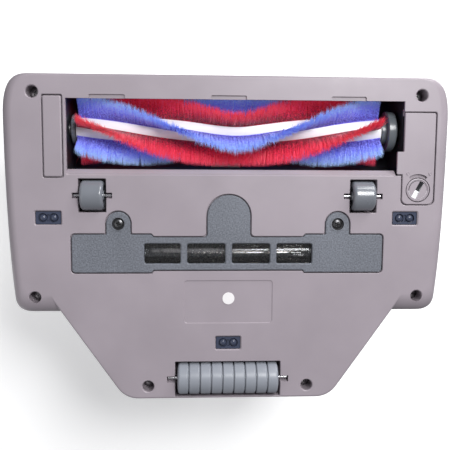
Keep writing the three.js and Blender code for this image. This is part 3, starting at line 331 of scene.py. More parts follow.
def clear(name, tint, rough, passing=0.92):
    """A clear moulding: mostly seen through, with haze where it has been wiped."""
    material, tree, shader = new_finish(name)
    shader.inputs["Transmission Weight"].default_value = passing
    shader.inputs["IOR"].default_value = 1.48
    pale = [min(1, c * 1.05) for c in tint]
    tree.links.new(tinted(tree, noise(tree, 30), tint, pale), shader.inputs["Base Color"])
    tree.links.new(spread(tree, noise(tree, 120), rough, rough + 0.08), shader.inputs["Roughness"])
    tree.links.new(raised(tree, noise(tree, 700), 0.05, 0.0001), shader.inputs["Normal"])
    return material


axle_finish = steel("turned_steel", (0.62, 0.62, 0.64), 0.25)
screw_finish = steel("zinc_screw", (0.42, 0.41, 0.42), 0.35)
dark_screw = steel("blackened_screw", (0.12, 0.12, 0.125), 0.3)
can_finish = steel("motor_can", (0.33, 0.34, 0.36), 0.4)
cap_finish = steel("lamp_cap", (0.70, 0.70, 0.72), 0.3)
mirror_finish = steel("reflector_sheet", (0.58, 0.52, 0.46), 0.2, rings=60)
cup_finish = clear("cup_smoke", (0.16, 0.17, 0.185), 0.03)
pane_finish = clear("pane_clear", (0.95, 0.97, 1.0), 0.02, 1.0)
tube_finish = clear("lamp_glass", (0.96, 0.97, 1.0), 0.01, 1.0)
filter_finish = plastic("filter_paper", (0.70, 0.67, 0.62), 0.85, grain=0.9, grain_scale=500, drift=0.12)
print("metals and glasses made")

# %% [markdown]
# ## Drawing outlines
# A moulding is mostly an outline with round corners, pulled straight up. `rounded` turns a few corners, each
# with its own radius, into such an outline: it walks round them and replaces each corner by an arc.


# %% Outline helpers
def rounded(corners, step=12):
    """An outline through (x, y, radius) corners, each corner an arc with a point every step degrees."""
    outline = []
    count = len(corners)
    for i, (x, y, radius) in enumerate(corners):
        here = Vector((x, y))
        before = (Vector(corners[i - 1][:2]) - here).normalized()
        after = (Vector(corners[(i + 1) % count][:2]) - here).normalized()
        turn = math.pi - before.angle(after)
        if radius < 0.01 or turn < 0.01:
            outline.append(here)
            continue
        reach = radius * math.tan(turn / 2)
        start, end = here + before * reach, here + after * reach
        centre = here + (before + after).normalized() * (radius / math.cos(turn / 2))
        steps = max(2, math.ceil(math.degrees(turn) / step))
        a, b = start - centre, end - centre
        for k in range(steps + 1):
            t = k / steps
            ray = (a * math.sin((1 - t) * turn) + b * math.sin(t * turn)) / math.sin(turn)
            outline.append(centre + ray)
    return [(p.x, p.y) for p in outline]


def rectangle(x0, x1, y0, y1, radius=0.0):
    """A rectangle with round corners."""
    return rounded([(x0, y0, radius), (x1, y0, radius), (x1, y1, radius), (x0, y1, radius)])


def circle(x, y, radius, count=48):
    """A round outline."""
    return [(x + radius * math.cos(2 * math.pi * k / count), y + radius * math.sin(2 * math.pi * k / count))
            for k in range(count)]


def mirrored(half):
    """A half outline for x of 0 or more, from y low to high, and its mirror image."""
    return list(half) + [(-x, y) for x, y in reversed(half) if abs(x) > 1e-6]


print("a round plate has", len(rectangle(0, 10, 0, 10, 3)), "points")

# %% [markdown]
# ## Making bodies
# Four ways of making a closed body cover the whole sweeper: a skin through rings, an outline pulled up, a
# profile turned on a lathe, and one body cut out of another. The last one is a boolean: it is how a pocket
# gets its sharp floor and walls. A small bevel on every sharp edge then catches the light as a real edge
# does.


# %% Body helpers
def skin(rings):
    """A closed mesh through rings of equally many (x, y, z) points."""
    count = len(rings[0])
    points = [p for ring in rings for p in ring]
    faces = []
    for i in range(len(rings) - 1):
        for j in range(count):
            k = (j + 1) % count
            faces.append((i * count + j, i * count + k, (i + 1) * count + k, (i + 1) * count + j))
    faces.append(tuple(reversed(range(count))))
    faces.append(tuple(range(len(points) - count, len(points))))
    mesh = bpy.data.meshes.new("skin")
    mesh.from_pydata([[c * MM for c in p] for p in points], [], faces)
    work = bmesh.new()
    work.from_mesh(mesh)
    bmesh.ops.recalc_face_normals(work, faces=work.faces)
    work.to_mesh(mesh)
    work.free()
    return mesh


def pulled(outline, z0, z1):
    """An (x, y) outline pulled up from z0 to z1."""
    return skin([[(x, y, z) for x, y in outline] for z in (z0, z1)])


def pulled_along(outline, x0, x1):
    """A (y, z) outline pulled along X."""
    return skin([[(x, y, z) for y, z in outline] for x in (x0, x1)])


def cuboid(x0, x1, y0, y1, z0, z1):
    """A plain block, for cutting with."""
    return pulled([(x0, y0), (x1, y0), (x1, y1), (x0, y1)], z0, z1)


def lathe(profile, centre, axis="z", segments=64):
    """A body of revolution through closed (along, radius) pairs; centre is a point on its axis."""
    rings = []
    for k in range(segments):
        a = 2 * math.pi * k / segments
        ring = []
        for along, radius in profile:
            u, v = radius * math.cos(a), radius * math.sin(a)
            if axis == "x":
                ring.append((centre[0] + along, centre[1] + u, centre[2] + v))
            else:
                ring.append((centre[0] + u, centre[1] + v, centre[2] + along))
        rings.append(ring)
    count = len(profile)
    points = [[c * MM for c in p] for ring in rings for p in ring]
    faces = []
    for i in range(segments):
        for j in range(count):
            n, k = (i + 1) % segments, (j + 1) % count
            faces.append((i * count + j, i * count + k, n * count + k, n * count + j))
    mesh = bpy.data.meshes.new("turned")
    mesh.from_pydata(points, [], faces)
    work = bmesh.new()
    work.from_mesh(mesh)
    bmesh.ops.remove_doubles(work, verts=work.verts, dist=1e-7)
    bmesh.ops.recalc_face_normals(work, faces=work.faces)
    work.to_mesh(mesh)
    work.free()
    return mesh


def joined(first, *others, how="UNION"):
    """One closed mesh from several: UNION joins them, DIFFERENCE cuts the others out of the first."""
    target = bpy.data.objects.new("work", first)
    bpy.context.scene.collection.objects.link(target)
    tools = []
    for other in others:
        tool = bpy.data.objects.new("tool", other)
        bpy.context.scene.collection.objects.link(tool)
        change = target.modifiers.new("cut", "BOOLEAN")
        change.operation = how
        change.solver = "MANIFOLD"
        change.object = tool
        tools.append(tool)
    seen = target.evaluated_get(bpy.context.evaluated_depsgraph_get())
    result = bpy.data.meshes.new_from_object(seen)
    for thing in [target, *tools]:
        bpy.data.objects.remove(thing)
    return result


def cut(first, *tools):
    """The first body with the tools cut out of it."""
    return joined(first, *tools, how="DIFFERENCE")


def soften(thing, width, angle=35, segments=2):
    """Smooth shading, with a small round on every edge sharper than the angle."""
    mesh = thing.data
    mesh.polygons.foreach_set("use_smooth", [True] * len(mesh.polygons))
    mesh.set_sharp_from_angle(angle=math.radians(angle))
    if width:
        bevel = thing.modifiers.new("edge", "BEVEL")
        bevel.width = width * MM
        bevel.segments = segments
        bevel.limit_method = "ANGLE"
        bevel.angle_limit = math.radians(angle)
        bevel.use_clamp_overlap = True
        bevel.harden_normals = True
    normals = thing.modifiers.new("normals", "WEIGHTED_NORMAL")
    normals.keep_sharp = True


def piece(name, mesh, body, finish, replaced=(), edge=0.3, angle=35):
    """Names a mesh, gives it a finish and an edge, and fixes it to its body of the working model."""
    thing = bpy.data.objects.new(name, mesh)
    bpy.context.scene.collection.objects.link(thing)
    mesh.materials.clear()
    mesh.materials.append(finish)
    soften(thing, edge, angle)
    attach(thing, body)
    if replaced:
        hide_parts(*replaced)
    print(name, "-", len(mesh.polygons), "faces")
    return thing


# %% [markdown]
# ## The casing's form
# From below the casing is a wide front part with softly curved sides, and a narrow rear part with two
# slanting sides. Both are skins through level rings. The front part is shrunk towards the flat underside
# along a quarter circle, which gives the rounded belly; the rear part stays flat almost to its steep walls.

# %% Rings of the front part and the rear part
wing_middle = (front + wing_rear) / 2
widest_rise = 14
belly_inset = (9, 2.4, 14)  # sides, front and rear: from the widest level in to the flat underside
hood_inset = (30, 40, 26)  # the same, up to the flat top of the hood


def curve(p0, p1, p2, p3, steps):
    """Points along a cubic curve, without its first point."""
    points = []
    for k in range(1, steps + 1):
        t = k / steps
        weights = ((1 - t) ** 3, 3 * t * (1 - t) ** 2, 3 * t * t * (1 - t), t**3)
        points.append(tuple(sum(w * p[i] for w, p in zip(weights, (p0, p1, p2, p3))) for i in (0, 1)))
    return points


def quadratic(p0, p1, p2, steps):
    """Points along a quadratic curve, without its first point."""
    points = []
    for k in range(1, steps + 1):
        t = k / steps
        weights = ((1 - t) ** 2, 2 * t * (1 - t), t * t)
        points.append(tuple(sum(w * p[i] for w, p in zip(weights, (p0, p1, p2))) for i in (0, 1)))
    return points


def wing_outline():
    """The front part's outline at its widest level."""
    corner = (side - 16.5, front)
    shoulder = (side, front + 28.5)
    hip = (side - 5.2, wing_rear - 9.7)
    heel = (side - 17.5, wing_rear)
    half = [(40, front), corner]
    half += curve(corner, (side - 4.5, front), (side, front + 9.5), shoulder, 14)
    half += quadratic(shoulder, (side - 0.5, wing_rear - 51.7), hip, 14)
    half += quadratic(hip, (side - 6.2, wing_rear), heel, 10)
    half += [(40, wing_rear)]
    return mirrored(half)


def wing_ring(z, inset, share, extra=0.0):
    """The front part's ring at height z, moved in by a share of the insets, plus extra."""
    ring = []
    for x, y in wing_outline():
        if y < wing_middle:
            shrink = (inset[1] * share + extra) / (wing_middle - front)
        else:
            shrink = (inset[2] * share + extra) / (wing_rear - wing_middle)
        x_new = x * (1 - (inset[0] * share + extra) / side)
        ring.append((x_new, wing_middle + (y - wing_middle) * (1 - shrink), z))
    return ring


slant = 0.6935
slant_x = side - 30.9 + (wing_rear - 13.5) * slant
tail_draft = 1.2
tail_edge = rear - tail_draft


def tail_ring(z, grow):
    """The rear part's ring at height z, grown outwards."""
    grown = slant_x + grow * math.hypot(1, slant)
    back_edge = tail_edge + grow
    corner_x = grown - back_edge * slant
    elbow = (grown - (wing_rear - 30) * slant, wing_rear - 30)
    start = (corner_x + 8 * slant, back_edge - 8)
    end = (corner_x - 9.5, back_edge)
    half = [(20, wing_middle), (elbow[0], wing_middle), elbow, start]
    half += quadratic(start, (corner_x, back_edge), end, 10)
    half += [(20, back_edge)]
    return [(x, y, z) for x, y in mirrored(half)]


def quarter(count):
    """Angles from 0 to a right angle."""
    return [math.pi / 2 * k / count for k in range(count + 1)]


def lower_form(thick, steps=12):
    """The lower casing's outer form, moved in by thick."""
    rise = [
        wing_ring(floor_gap + thick + (widest_rise - thick) * (1 - math.cos(a)), belly_inset,
                  1 - math.sin(a), thick)
        for a in quarter(steps)
    ]
    wing = skin([*rise, wing_ring(parting, belly_inset, 0, thick)])
    lip = 1.6 if thick == 0 else 0.6
    tail_rings = [
        tail_ring(floor_gap + thick + lip * (1 - math.cos(a)), -thick - lip * (1 - math.sin(a)))
        for a in quarter(5)
    ]
    tail = skin([*tail_rings, tail_ring(parting, tail_draft - thick)])
    return joined(wing, tail)


print("the front part's outline has", len(wing_outline()), "points")

# %% [markdown]
# ## The lower casing
# This is the big mauve-grey moulding of the belly. Everything that meets the floor is let into it: the brush
# mouth, the wheel wells, the recesses of three covers, three sensor windows and six deep screw holes. It is
# built as it is designed: the outer form, minus the inner form, plus ledges and bosses, minus all the holes.

# %% Places in the belly
mouth = (-(side - 44.5), side - 34.1, brush_y - brush_radius + 6.2, brush_y + brush_radius + 5)
mouth_slope = 3.4  # how far the mouth's rear wall leans in towards the brush
seam = 0.45  # a cover is this much smaller than its recess all round, besides the fit's own gap
cover_thick = 2.2
ledge_floor = floor_gap + cover_thick + gap
ledge_top = ledge_floor + 2
seat_z = 20
screw_places = [
    (-(side - 22.5), front + 13.1), (side - 22.5, front + 13.1),
    (-(side - 21.3), wing_rear - 12.5), (side - 21.3, wing_rear - 12.5),
    (-56.1, rear - 9.6 - tail_draft / 2), (56.1, rear - 9.6 - tail_draft / 2),
]
uv_front = lamp_y - 13.9
uv_rear = lamp_y + 13.4
uv_half = (uv_x1 - uv_x0) / 2
uv_tab_x = uv_half - 32.3
uv_screw_y = uv_front - 7


def uv_outline(grow=0.0):
    """The lamp cover: a bar with a waist, two screw tabs and a round finger tab towards the brush."""
    g = grow
    tab = 8.7
    waist = 52.4
    half = [(0, uv_front - 27.3 - g, 0.0), (15.3 + g, uv_front - 27.3 - g, 14.8 + g)]
    half += [(15.3 + g, uv_front + 1.9 - g, 2.5)]
    half += [(waist - 0.9, uv_front + 1.9 - g, 0.8), (waist + 0.9, uv_front - g, 0.8)]
    half += [(uv_tab_x - tab - g, uv_front - g, 0.8)]
    half += [(uv_tab_x - tab - g, uv_screw_y - tab - g, tab + g - 0.05)]
    half += [(uv_tab_x + tab + g, uv_screw_y - tab - g, tab + g - 0.05)]
    half += [(uv_tab_x + tab + g, uv_front - g, 0.8)]
    half += [(uv_half + g, uv_front - g, 2.6 + g), (uv_half + g, uv_rear + g, 2.6 + g)]
    half += [(waist + 0.6, uv_rear + g, 0.6), (waist - 0.6, uv_rear + g - 1.7, 0.6),
             (0, uv_rear + g - 1.7, 0.0)]
    return mirrored_corners(half)


def mirrored_corners(half):
    """Rounds a half outline given as corners, after adding its mirror image."""
    whole = half + [(-x, y, radius) for x, y, radius in reversed(half) if abs(x) > 1e-6]
    return rounded(whole)


def side_cover_outline(grow=0.0):
    """The brush cover at the side: a step on its inner edge keeps it from going in the wrong way round."""
    g = grow
    x0, x1 = mouth[1], side - 11.6
    y0, y1 = mouth[2] + 7.3, mouth[3] + 20.3
    step = mouth[3] - 16.5
    return rounded([
        (x0 - g, y0 - g, 0.0), (x1 + g, y0 - g, 1.5), (x1 + g, y1 + g, 4.0), (x0 - 0.6 - g, y1 + g, 4.0),
        (x0 - 0.6 - g, mouth[3] - gap + g, 0.0), (x0 - 4, mouth[3] - gap + g, 0.8), (x0 - 4, step, 0.8),
        (x0 - g, step, 0.4),
    ])


def belt_cover_outline(grow=0.0):
    """The long panel over the belt."""
    x0, x1 = mouth[0] - 15.6, mouth[0] - 2.3
    return rectangle(x0 - grow, x1 + grow, mouth[2] - 2 - grow, mouth[3] + 2.2 + grow, 1.4)


lock_x = (mouth[1] + side - 11.6) / 2 - 0.3
lock_y = mouth[3] + 9.8
lock_radius = 8
sensor_half = (8.8, 4.6)
sensor_places = [tuple(middle(f"lift_sensor_{name}")[:2]) for name in ("left", "right", "rear")]
well_half = 9.4
roller_half = 37.2
print("mouth", [round(v, 1) for v in mouth])

# %% [markdown]
# ## Chamfered holes and covers
# Most holes in the belly have a small chamfer round the edge, and so do the covers let into it. Here the
# chamfer is part of the shape, so it keeps its size whatever other edges are near: the same outline is
# drawn a little larger or smaller at two or three heights, and a skin joins these rings.

# %% Tools for holes and covers
def flared(outline, size, deep=20.0):
    """The tool for a hole in the belly with a chamfered edge; outline(grow) gives its outline."""
    rings = ((size + 0.6, floor_gap - 0.6), (0, floor_gap + size), (0, floor_gap + deep))
    return skin([[(x, y, z) for x, y in outline(grow)] for grow, z in rings])


def plate(outline, chamfer=0.5):
    """A flat cover with a chamfered edge, let into the belly with a narrow seam round it."""
    rings = ((-seam - chamfer, floor_gap), (-seam, floor_gap + chamfer), (-seam, floor_gap + cover_thick))
    return skin([[(x, y, z) for x, y in outline(grow)] for grow, z in rings])


print("a cover's seam is", seam, "mm wide")

# %% Build the lower casing
shell = cut(lower_form(0), lower_form(wall, 6))
lid_open = skin([wing_ring(z, belly_inset, 0, wall) for z in (parting - 1, parting + 1)])
lid_open_rear = skin([tail_ring(z, tail_draft - wall) for z in (parting - 1, parting + 1)])
shell = cut(shell, lid_open, lid_open_rear)
ledges = [
    pulled(uv_outline(2.2), floor_gap + 0.5, ledge_top),
    pulled(side_cover_outline(2.2), floor_gap + 0.5, ledge_top),
    pulled(belt_cover_outline(2.0), floor_gap + 0.5, ledge_top),
    cuboid(mouth[0] - 2, mouth[1] + 1, mouth[3] - mouth_slope, mouth[3] + 2.5, floor_gap + 0.5, ledge_top),
]
bosses = [pulled(circle(x, y, 6.1), floor_gap + 0.5, seat_z + 2.4) for x, y in screw_places]
pilots = [pulled(circle(s * uv_tab_x, uv_screw_y, 4.6), floor_gap + 0.5, ledge_top + 8) for s in (-1, 1)]
well_rear = wheel_y + 11.5
well_front = wheel_y - 11.5
wells = [
    (s * wheel_x - well_half, s * wheel_x + well_half, well_front, well_rear, 2 * wheel_z + 1.2)
    for s in (-1, 1)
] + [(-roller_half, roller_half, roller_y - roller_z - 1.5, tail_edge - 1.4, 2 * roller_z + 1.2)]
well_walls = [cuboid(x0 - 1.6, x1 + 1.6, y0, y1 + 1.6, floor_gap + 0.5, top + 1.6)
              for x0, x1, y0, y1, top in wells]
axle_seats = [(s * wheel_x, wheel_y, wheel_z, well_half, 13.55, 1.25) for s in (-1, 1)]
axle_seats.append((0, roller_y, roller_z, roller_half, 42.95, 1.5))
seat_blocks = [
    cuboid(x + s * near - (s < 0) * (far - near + 1.6), x + s * near + (s > 0) * (far - near + 1.6),
           y - 4, y + 4, floor_gap + 0.5, z + radius + 2.2)
    for x, y, z, near, far, radius in axle_seats for s in (-1, 1)
]
outer_limit = lower_form(0.3)
insides = joined(ledges[0], *ledges[1:], *bosses, *pilots, *well_walls, *seat_blocks)
insides = joined(insides, outer_limit, how="INTERSECT")
shell = joined(shell, insides)

slots = []
for x, y, z, near, far, radius in axle_seats:
    wide = radius + gap
    notch = rounded([(y - wide - 0.5, floor_gap - 1, 0), (y + wide + 0.5, floor_gap - 1, 0),
                     (y + wide, z, 0),
                     (y + wide, z + wide, wide - 0.02), (y - wide, z + wide, wide - 0.02), (y - wide, z, 0)])
    for s in (-1, 1):
        ends = sorted((x + s * (near - 1), x + s * far))
        slots.append(pulled_along(notch, *ends))
holes = [
    cuboid(mouth[0], mouth[1], mouth[2], mouth[3] - mouth_slope, floor_gap - 1, ledge_top + 1),
    cuboid(mouth[1] - 5, mouth[1], mouth[2], mouth[3], floor_gap - 1, ledge_top + 1),
    flared(lambda g: uv_outline(gap + g), 0.35, cover_thick + gap),
    flared(lambda g: side_cover_outline(gap + g), 0.3, cover_thick + gap),
    flared(lambda g: belt_cover_outline(gap + g), 0.35, cover_thick + gap),
    cuboid(-62, 62, lamp_y - 8.9, lamp_y + 8.9, floor_gap - 1, ledge_top + 1),
    cuboid(mouth[1] - 1, side - 14.1, mouth[2] + 9.8, lock_y - 11, floor_gap, ledge_top + 1),
    pulled(circle(lock_x, lock_y, lock_radius + 0.8), floor_gap, ledge_top + 1),
    pulled(belt_cover_outline(-2), floor_gap, ledge_top + 1),
    flared(lambda g: rectangle(-30.5 - g, 30.5 + g, uv_rear + 5.5 - g, uv_rear + 35.2 + g, 1.8 + g), 0.45,
           0.5),
    flared(lambda g: rectangle(mouth[0] - g, mouth[1] - 5, mouth[2] + 3, mouth[3] + g, 1.8), 0.7, 0.8),
]
for x0, x1, y0, y1, top in wells:
    holes.append(flared(lambda g: rectangle(x0 - g, x1 + g, y0 - g, y1 + g, 0.7 + g), 0.4, top - floor_gap))
for x, y in sensor_places:
    half_x, half_y = sensor_half
    holes.append(flared(lambda g: rectangle(x - half_x - g, x + half_x + g, y - half_y - g, y + half_y + g,
                                            0.9 + g),
                        0.8, ledge_top - floor_gap))
for x, y in screw_places:
    holes.append(flared(lambda g: circle(x, y, 4.1 + g), 0.6, seat_z - floor_gap))
holes += [pulled(circle(x, y, 2.0, 24), 0, seat_z + 3) for x, y in screw_places]
holes += [pulled(circle(s * uv_tab_x, uv_screw_y, 1.85, 24), floor_gap, ledge_top + 7) for s in (-1, 1)]
lean = mouth_slope / (ledge_top - floor_gap)
slope_line = [(mouth[2] + 5, floor_gap - 1), (mouth[3] + lean, floor_gap - 1),
              (mouth[3] - mouth_slope - lean, ledge_top + 1), (mouth[2] + 5, ledge_top + 1)]
holes.append(pulled_along(slope_line, mouth[0], mouth[1] - 4.5))
for s in (-1, 0, 1):
    centre = s * (mouth[1] - mouth[0] - 66.4) / 2 - 0.4
    holes.append(pulled(rectangle(centre - 12, centre + 12, mouth[2] - 2.7, mouth[2] + 2, 1.0),
                        floor_gap - 1, floor_gap + 1.3))
shell = cut(shell, *holes, *slots)
piece("lower_casing", shell, "casing", casing_finish, ["base_shell"], edge=0.5)

# %% [markdown]
# ## Helpers for turned and tilted tools
# Most of the pieces that follow are turned parts: wheels, axles, discs, screws. Their edges are rounded in
# the profile itself, so the bevel is only needed where a cut meets a face. Some cutting tools are made lying
# flat and then turned into place.


# %% Round profiles and placed tools
def placed(mesh, turn=0.0, place=(0, 0, 0), axis="Z"):
    """A mesh turned about an axis through the origin, in degrees, then moved, in millimetres."""
    mesh.transform(Matrix.Translation(Vector(place) * MM) @ Matrix.Rotation(math.radians(turn), 4, axis))
    return mesh


def roller_profile(half, bore, radius, round_edge, steps=5):
    """A plain roller's profile: a bore, two flat ends and rounded rims."""
    profile = [(-half, bore)]
    for sign in (-1, 1):
        arc = quarter(steps) if sign < 0 else quarter(steps)[::-1]
        for a in arc:
            profile.append((sign * (half - round_edge * (1 - math.cos(a))),
                            radius - round_edge * (1 - math.sin(a))))
    profile.append((half, bore))
    return profile


def pin(x0, x1, y, z, radius, chamfer=0.3, segments=32):
    """A round bar along X with chamfered ends."""
    profile = [(x0, 0.0), (x0, radius - chamfer), (x0 + chamfer, radius), (x1 - chamfer, radius),
               (x1, radius - chamfer)]
    return lathe([*profile, (x1, 0.0)], (0, y, z), "x", segments)


def cross_recess(x, y, z, reach=1.9, width=0.75, depth=1.3):
    """The tool for a cross-shaped driver recess whose arms rise from the face at z."""
    arms = []
    for a in (0, 90):
        arm = skin([[(-reach * k, -width * k / 2, h), (reach * k, -width * k / 2, h),
                     (reach * k, width * k / 2, h),
                     (-reach * k, width * k / 2, h)] for h, k in ((-1, 1.05), (0, 1), (depth, 0.35))])
        arms.append(placed(arm, a + 20, (x, y, z)))
    return arms


print("a roller profile has", len(roller_profile(5, 1, 5, 1)), "points")

# %% [markdown]
# ## Bristles
# The brush roll carries six rows of nylon bristles, blue and red in turn, each in a V that sweeps dirt to
# the middle. Hair particles would be quick to set up, but they aren't part of a mesh. So every bristle here
# is a real tapered fibre with three sides. Each leans with the tuft it grows in, which gives the combed
# look, and a little on its own. The roots are painted darker and more violet than the tips, as painted
# shade where the light reaches them last; the frayed tips are lighter as well. Thin nylon lets some light
# through, and a very faint painted glow of the finish stands for it. The ridge under each row is painted
# near black as shade at the roots.

# %% Bristle finish
# Root, middle and tip colours of each nylon; the dark root colours are painted shade.
blue_shades = ((0.10, 0.08, 0.55), (0.28, 0.34, 1.0), (0.50, 0.74, 1.0))
red_shades = ((0.20, 0.004, 0.02), (0.80, 0.016, 0.06), (1.0, 0.085, 0.17))


def bristle_finish(name, shades):
    """Nylon that lightens from root to tip, with streaks from tuft to tuft; the dark roots are painted shade
    and a faint emission is a painted glow.
    """
    material, tree, shader = new_finish(name)
    place = tree.nodes.new("ShaderNodeTexCoord")
    to_axis = tree.nodes.new("ShaderNodeVectorMath")
    to_axis.operation = "SUBTRACT"
    to_axis.inputs[1].default_value = (0, brush_y * MM, brush_z * MM)
    flat = tree.nodes.new("ShaderNodeVectorMath")
    flat.operation = "MULTIPLY"
    flat.inputs[1].default_value = (0, 1, 1)
    length = tree.nodes.new("ShaderNodeVectorMath")
    length.operation = "LENGTH"
    tree.links.new(place.outputs["Object"], to_axis.inputs[0])
    tree.links.new(to_axis.outputs["Vector"], flat.inputs[0])
    tree.links.new(flat.outputs["Vector"], length.inputs[0])
    # Painted shade: the colour darkens from the tips towards the core, where less light reaches.
    along = spread(tree, length.outputs["Value"], 0, 1, core_radius * MM, brush_radius * MM)
    streak = spread(tree, noise(tree, 900, 3), -0.34, 0.34)
    total = tree.nodes.new("ShaderNodeMath")
    total.operation = "ADD"
    tree.links.new(along, total.inputs[0])
    tree.links.new(streak, total.inputs[1])
    ramp = tree.nodes.new("ShaderNodeValToRGB")
    ramp.color_ramp.elements[0].color = (*shades[0], 1)
    ramp.color_ramp.elements[1].color = (*shades[2], 1)
    between = ramp.color_ramp.elements.new(0.45)
    between.color = (*shades[1], 1)
    tree.links.new(total.outputs[0], ramp.inputs[0])
    tree.links.new(ramp.outputs[0], shader.inputs["Base Color"])
    tree.links.new(spread(tree, noise(tree, 300), 0.38, 0.55), shader.inputs["Roughness"])
    shader.inputs["Sheen Weight"].default_value = 0.25
    # Painted glow: a faint emission in the fibre's own colour stands for light passing through the nylon.
    shader.inputs["Emission Strength"].default_value = 0.1
    tree.links.new(ramp.outputs[0], shader.inputs["Emission Color"])
    return material


bristle_finishes = {"blue": bristle_finish("nylon_blue", blue_shades),
                    "red": bristle_finish("nylon_red", red_shades)}
# The ridge under each row is painted near black: painted shade at the bristles' roots.
root_shade_finish = plastic("bristle_root_painted_shade", (0.03, 0.02, 0.035), 0.7, grain=0.5, grain_scale=900)
print("bristle finishes:", ", ".join(bristle_finishes))

# %% Grow six rows
row_count = 6
row_start = 80  # degrees from straight down towards the front, at the roll's ends
row_sweep = 116  # how far a row turns between its ends and its middle
bristles_in_row = 8000
tuft_pitch = 0.8
core_centre = (core_left + core_right) / 2
row_apex = core_centre + 4


def row_angle(number, x):
    """Where a row stands at x: a V with a rounded point in the middle."""
    soft = 0.12
    u = (row_apex - x) / (row_apex - core_left) if x < row_apex else (x - row_apex) / (core_right - row_apex)
    share = (math.hypot(u, soft) - soft) / (math.hypot(1, soft) - soft)
    return math.radians(row_start - 360 / row_count * number + row_sweep * (share - 1))


def on_roll(x, radius, angle, aside=0.0):
    """A point at a radius from the brush's axis; aside is a sideways distance on that radius."""
    a = angle + aside / radius
    return (x, brush_y - radius * math.sin(a), brush_z - radius * math.cos(a))


def bristle_row(number):
    """All fibres of one row."""
    chance = random.Random(100 + number)
    tufts = {}
    points, faces = [], []
    for _ in range(bristles_in_row):
        x = chance.uniform(core_left + 1.2, core_right - 1.2)
        tuft = int(x // tuft_pitch)
        if tuft not in tufts:
            tufts[tuft] = (chance.gauss(0, 0.55), chance.gauss(0, 0.5), chance.gauss(0, 0.35))
        lean_x, lean_side, lean_long = tufts[tuft]
        root = chance.uniform(-1.1, 1.1)
        tip = root * 2.5 + lean_side + chance.gauss(0, 0.95)
        stray = chance.random() < 0.05
        tip_x = lean_x + chance.gauss(0, 2.4 if stray else 0.7) + (core_centre - x) * 0.004
        long = min(brush_radius + 0.5, brush_radius + lean_long * 0.6 - abs(chance.gauss(0, 0.55)))
        spin = chance.uniform(0, 2)
        for radius, share, thick in ((core_radius - 0.2, 0.0, 0.14), (core_radius + 8, 0.45, 0.13)):
            angle = row_angle(number, x)
            aside = root + (tip - root) * share
            for k in range(3):
                a = spin + 2 * math.pi * k / 3
                here = x + tip_x * share**1.6 + thick * math.cos(a)
                points.append(on_roll(here, radius, angle, aside + thick * math.sin(a)))
        points.append(on_roll(x + tip_x, long, row_angle(number, x), tip))
        n = len(points) - 7
        faces += [(n + k, n + (k + 1) % 3, n + 3 + (k + 1) % 3, n + 3 + k) for k in range(3)]
        faces += [(n + 3 + k, n + 3 + (k + 1) % 3, n + 6) for k in range(3)]
        faces.append((n + 2, n + 1, n))
    mesh = bpy.data.meshes.new("bristles")
    mesh.from_pydata([[c * MM for c in p] for p in points], [], faces)
    return mesh


def root_shade_ridge(number, steps=60):
    """The strip a row grows from: a low ridge on the core; the loop below paints it near black as shade at
    the roots.
    """
    rings = []
    for i in range(steps + 1):
        x = core_left + 0.6 + (core_right - core_left - 1.2) * i / steps
        angle = row_angle(number, x)
        rings.append([on_roll(x, radius, angle, aside)
                      for radius, aside in ((core_radius - 0.4, -1.6), (core_radius + 0.55, -1.35),
                                            (core_radius + 0.55, 1.35), (core_radius - 0.4, 1.6))])
    return skin(rings)


def merged(*meshes):
    """Several meshes in one, each keeping its own finish."""
    work = bmesh.new()
    for mesh in meshes:
        work.from_mesh(mesh)
    together = bpy.data.meshes.new("merged")
    work.to_mesh(together)
    work.free()
    return together


for number in range(row_count):
    colour = "red" if number % 2 else "blue"
    fibres, strip = bristle_row(number), root_shade_ridge(number)
    # Painted shade: the ridge gets the second, near-black finish, as the shade at the bristles' roots.
    for polygon in strip.polygons:
        polygon.material_index = 1
    node = f"{colour}_bristles_{number // 2 + 1}"
    row = piece(f"{colour}_row_{number // 2 + 1}", merged(fibres, strip), "brush_roll",
                bristle_finishes[colour],
                [node], edge=0)
    row.data.materials.append(root_shade_finish)

# %% [markdown]
# ## The roll's core and ends
# The core is a white moulded tube. A narrow hub closes one end. On the open side a collar leads to a wider
# drum with rounded rims, because that is the end a hand takes hold of.

# %% Core, end discs and shaft
shaft_radius = 3
core_profile = roller_profile((core_right - core_left) / 2, shaft_radius + gap, core_radius, 0.6)
core = lathe(core_profile, (core_centre, brush_y, brush_z), "x", 96)
piece("roll_core", core, "brush_roll", core_finish, ["brush_core"], edge=0)
disc_radius = 14.5
bore = shaft_radius + gap
disc_left = [(-3.2, bore), (-3.2, 6), (-2.7, 6.5), (-2.7, 8.6), (-3.2, 9.1), (-3.1, 10.0), (-2.6, 10.5),
             (-gap, 10.5), (-gap, bore)]
disc_right = [(gap, bore), (gap, 9.5), (3.7, 9.5), (3.7, disc_radius - 0.6), (4.0, disc_radius - 0.15),
              (4.5, disc_radius), (8.3, disc_radius), (9.0, 14.3), (9.6, 13.7), (9.9, 12.9), (9.9, 11.4),
              (9.3, 10.8),
              (9.3, 6), (9.9, 5.4), (9.9, bore)]
disc_finish = plastic("disc_grey", (0.105, 0.118, 0.130), 0.24, grain=0.1, drift=0.2)
for side_name, x, profile, disc_paint in (
    ("left", core_left, disc_left, slate_finish), ("right", core_right, disc_right, disc_finish),
):
    disc = lathe(profile, (x, brush_y, brush_z), "x", 96)
    piece(f"end_disc_{side_name}", disc, "brush_roll", disc_paint,
          [f"brush_end_disc_{side_name}"], 0.0)
shaft_low, shaft_high = mm("brush_shaft")
shaft = pin(shaft_low[0], shaft_high[0], brush_y, brush_z, shaft_radius, 0.5)
piece("roll_shaft", shaft, "brush_roll", axle_finish, ["brush_shaft"], 0.0)

# %% [markdown]
# ## Wheels and rear roller
# The two front wheels are smooth idlers with rounded shoulders on thin steel pins. The rear roller is one
# moulding with nine ribs: its grooves let lint pass instead of winding up. All of them are turned, so a
# lathe profile says everything about their shape.

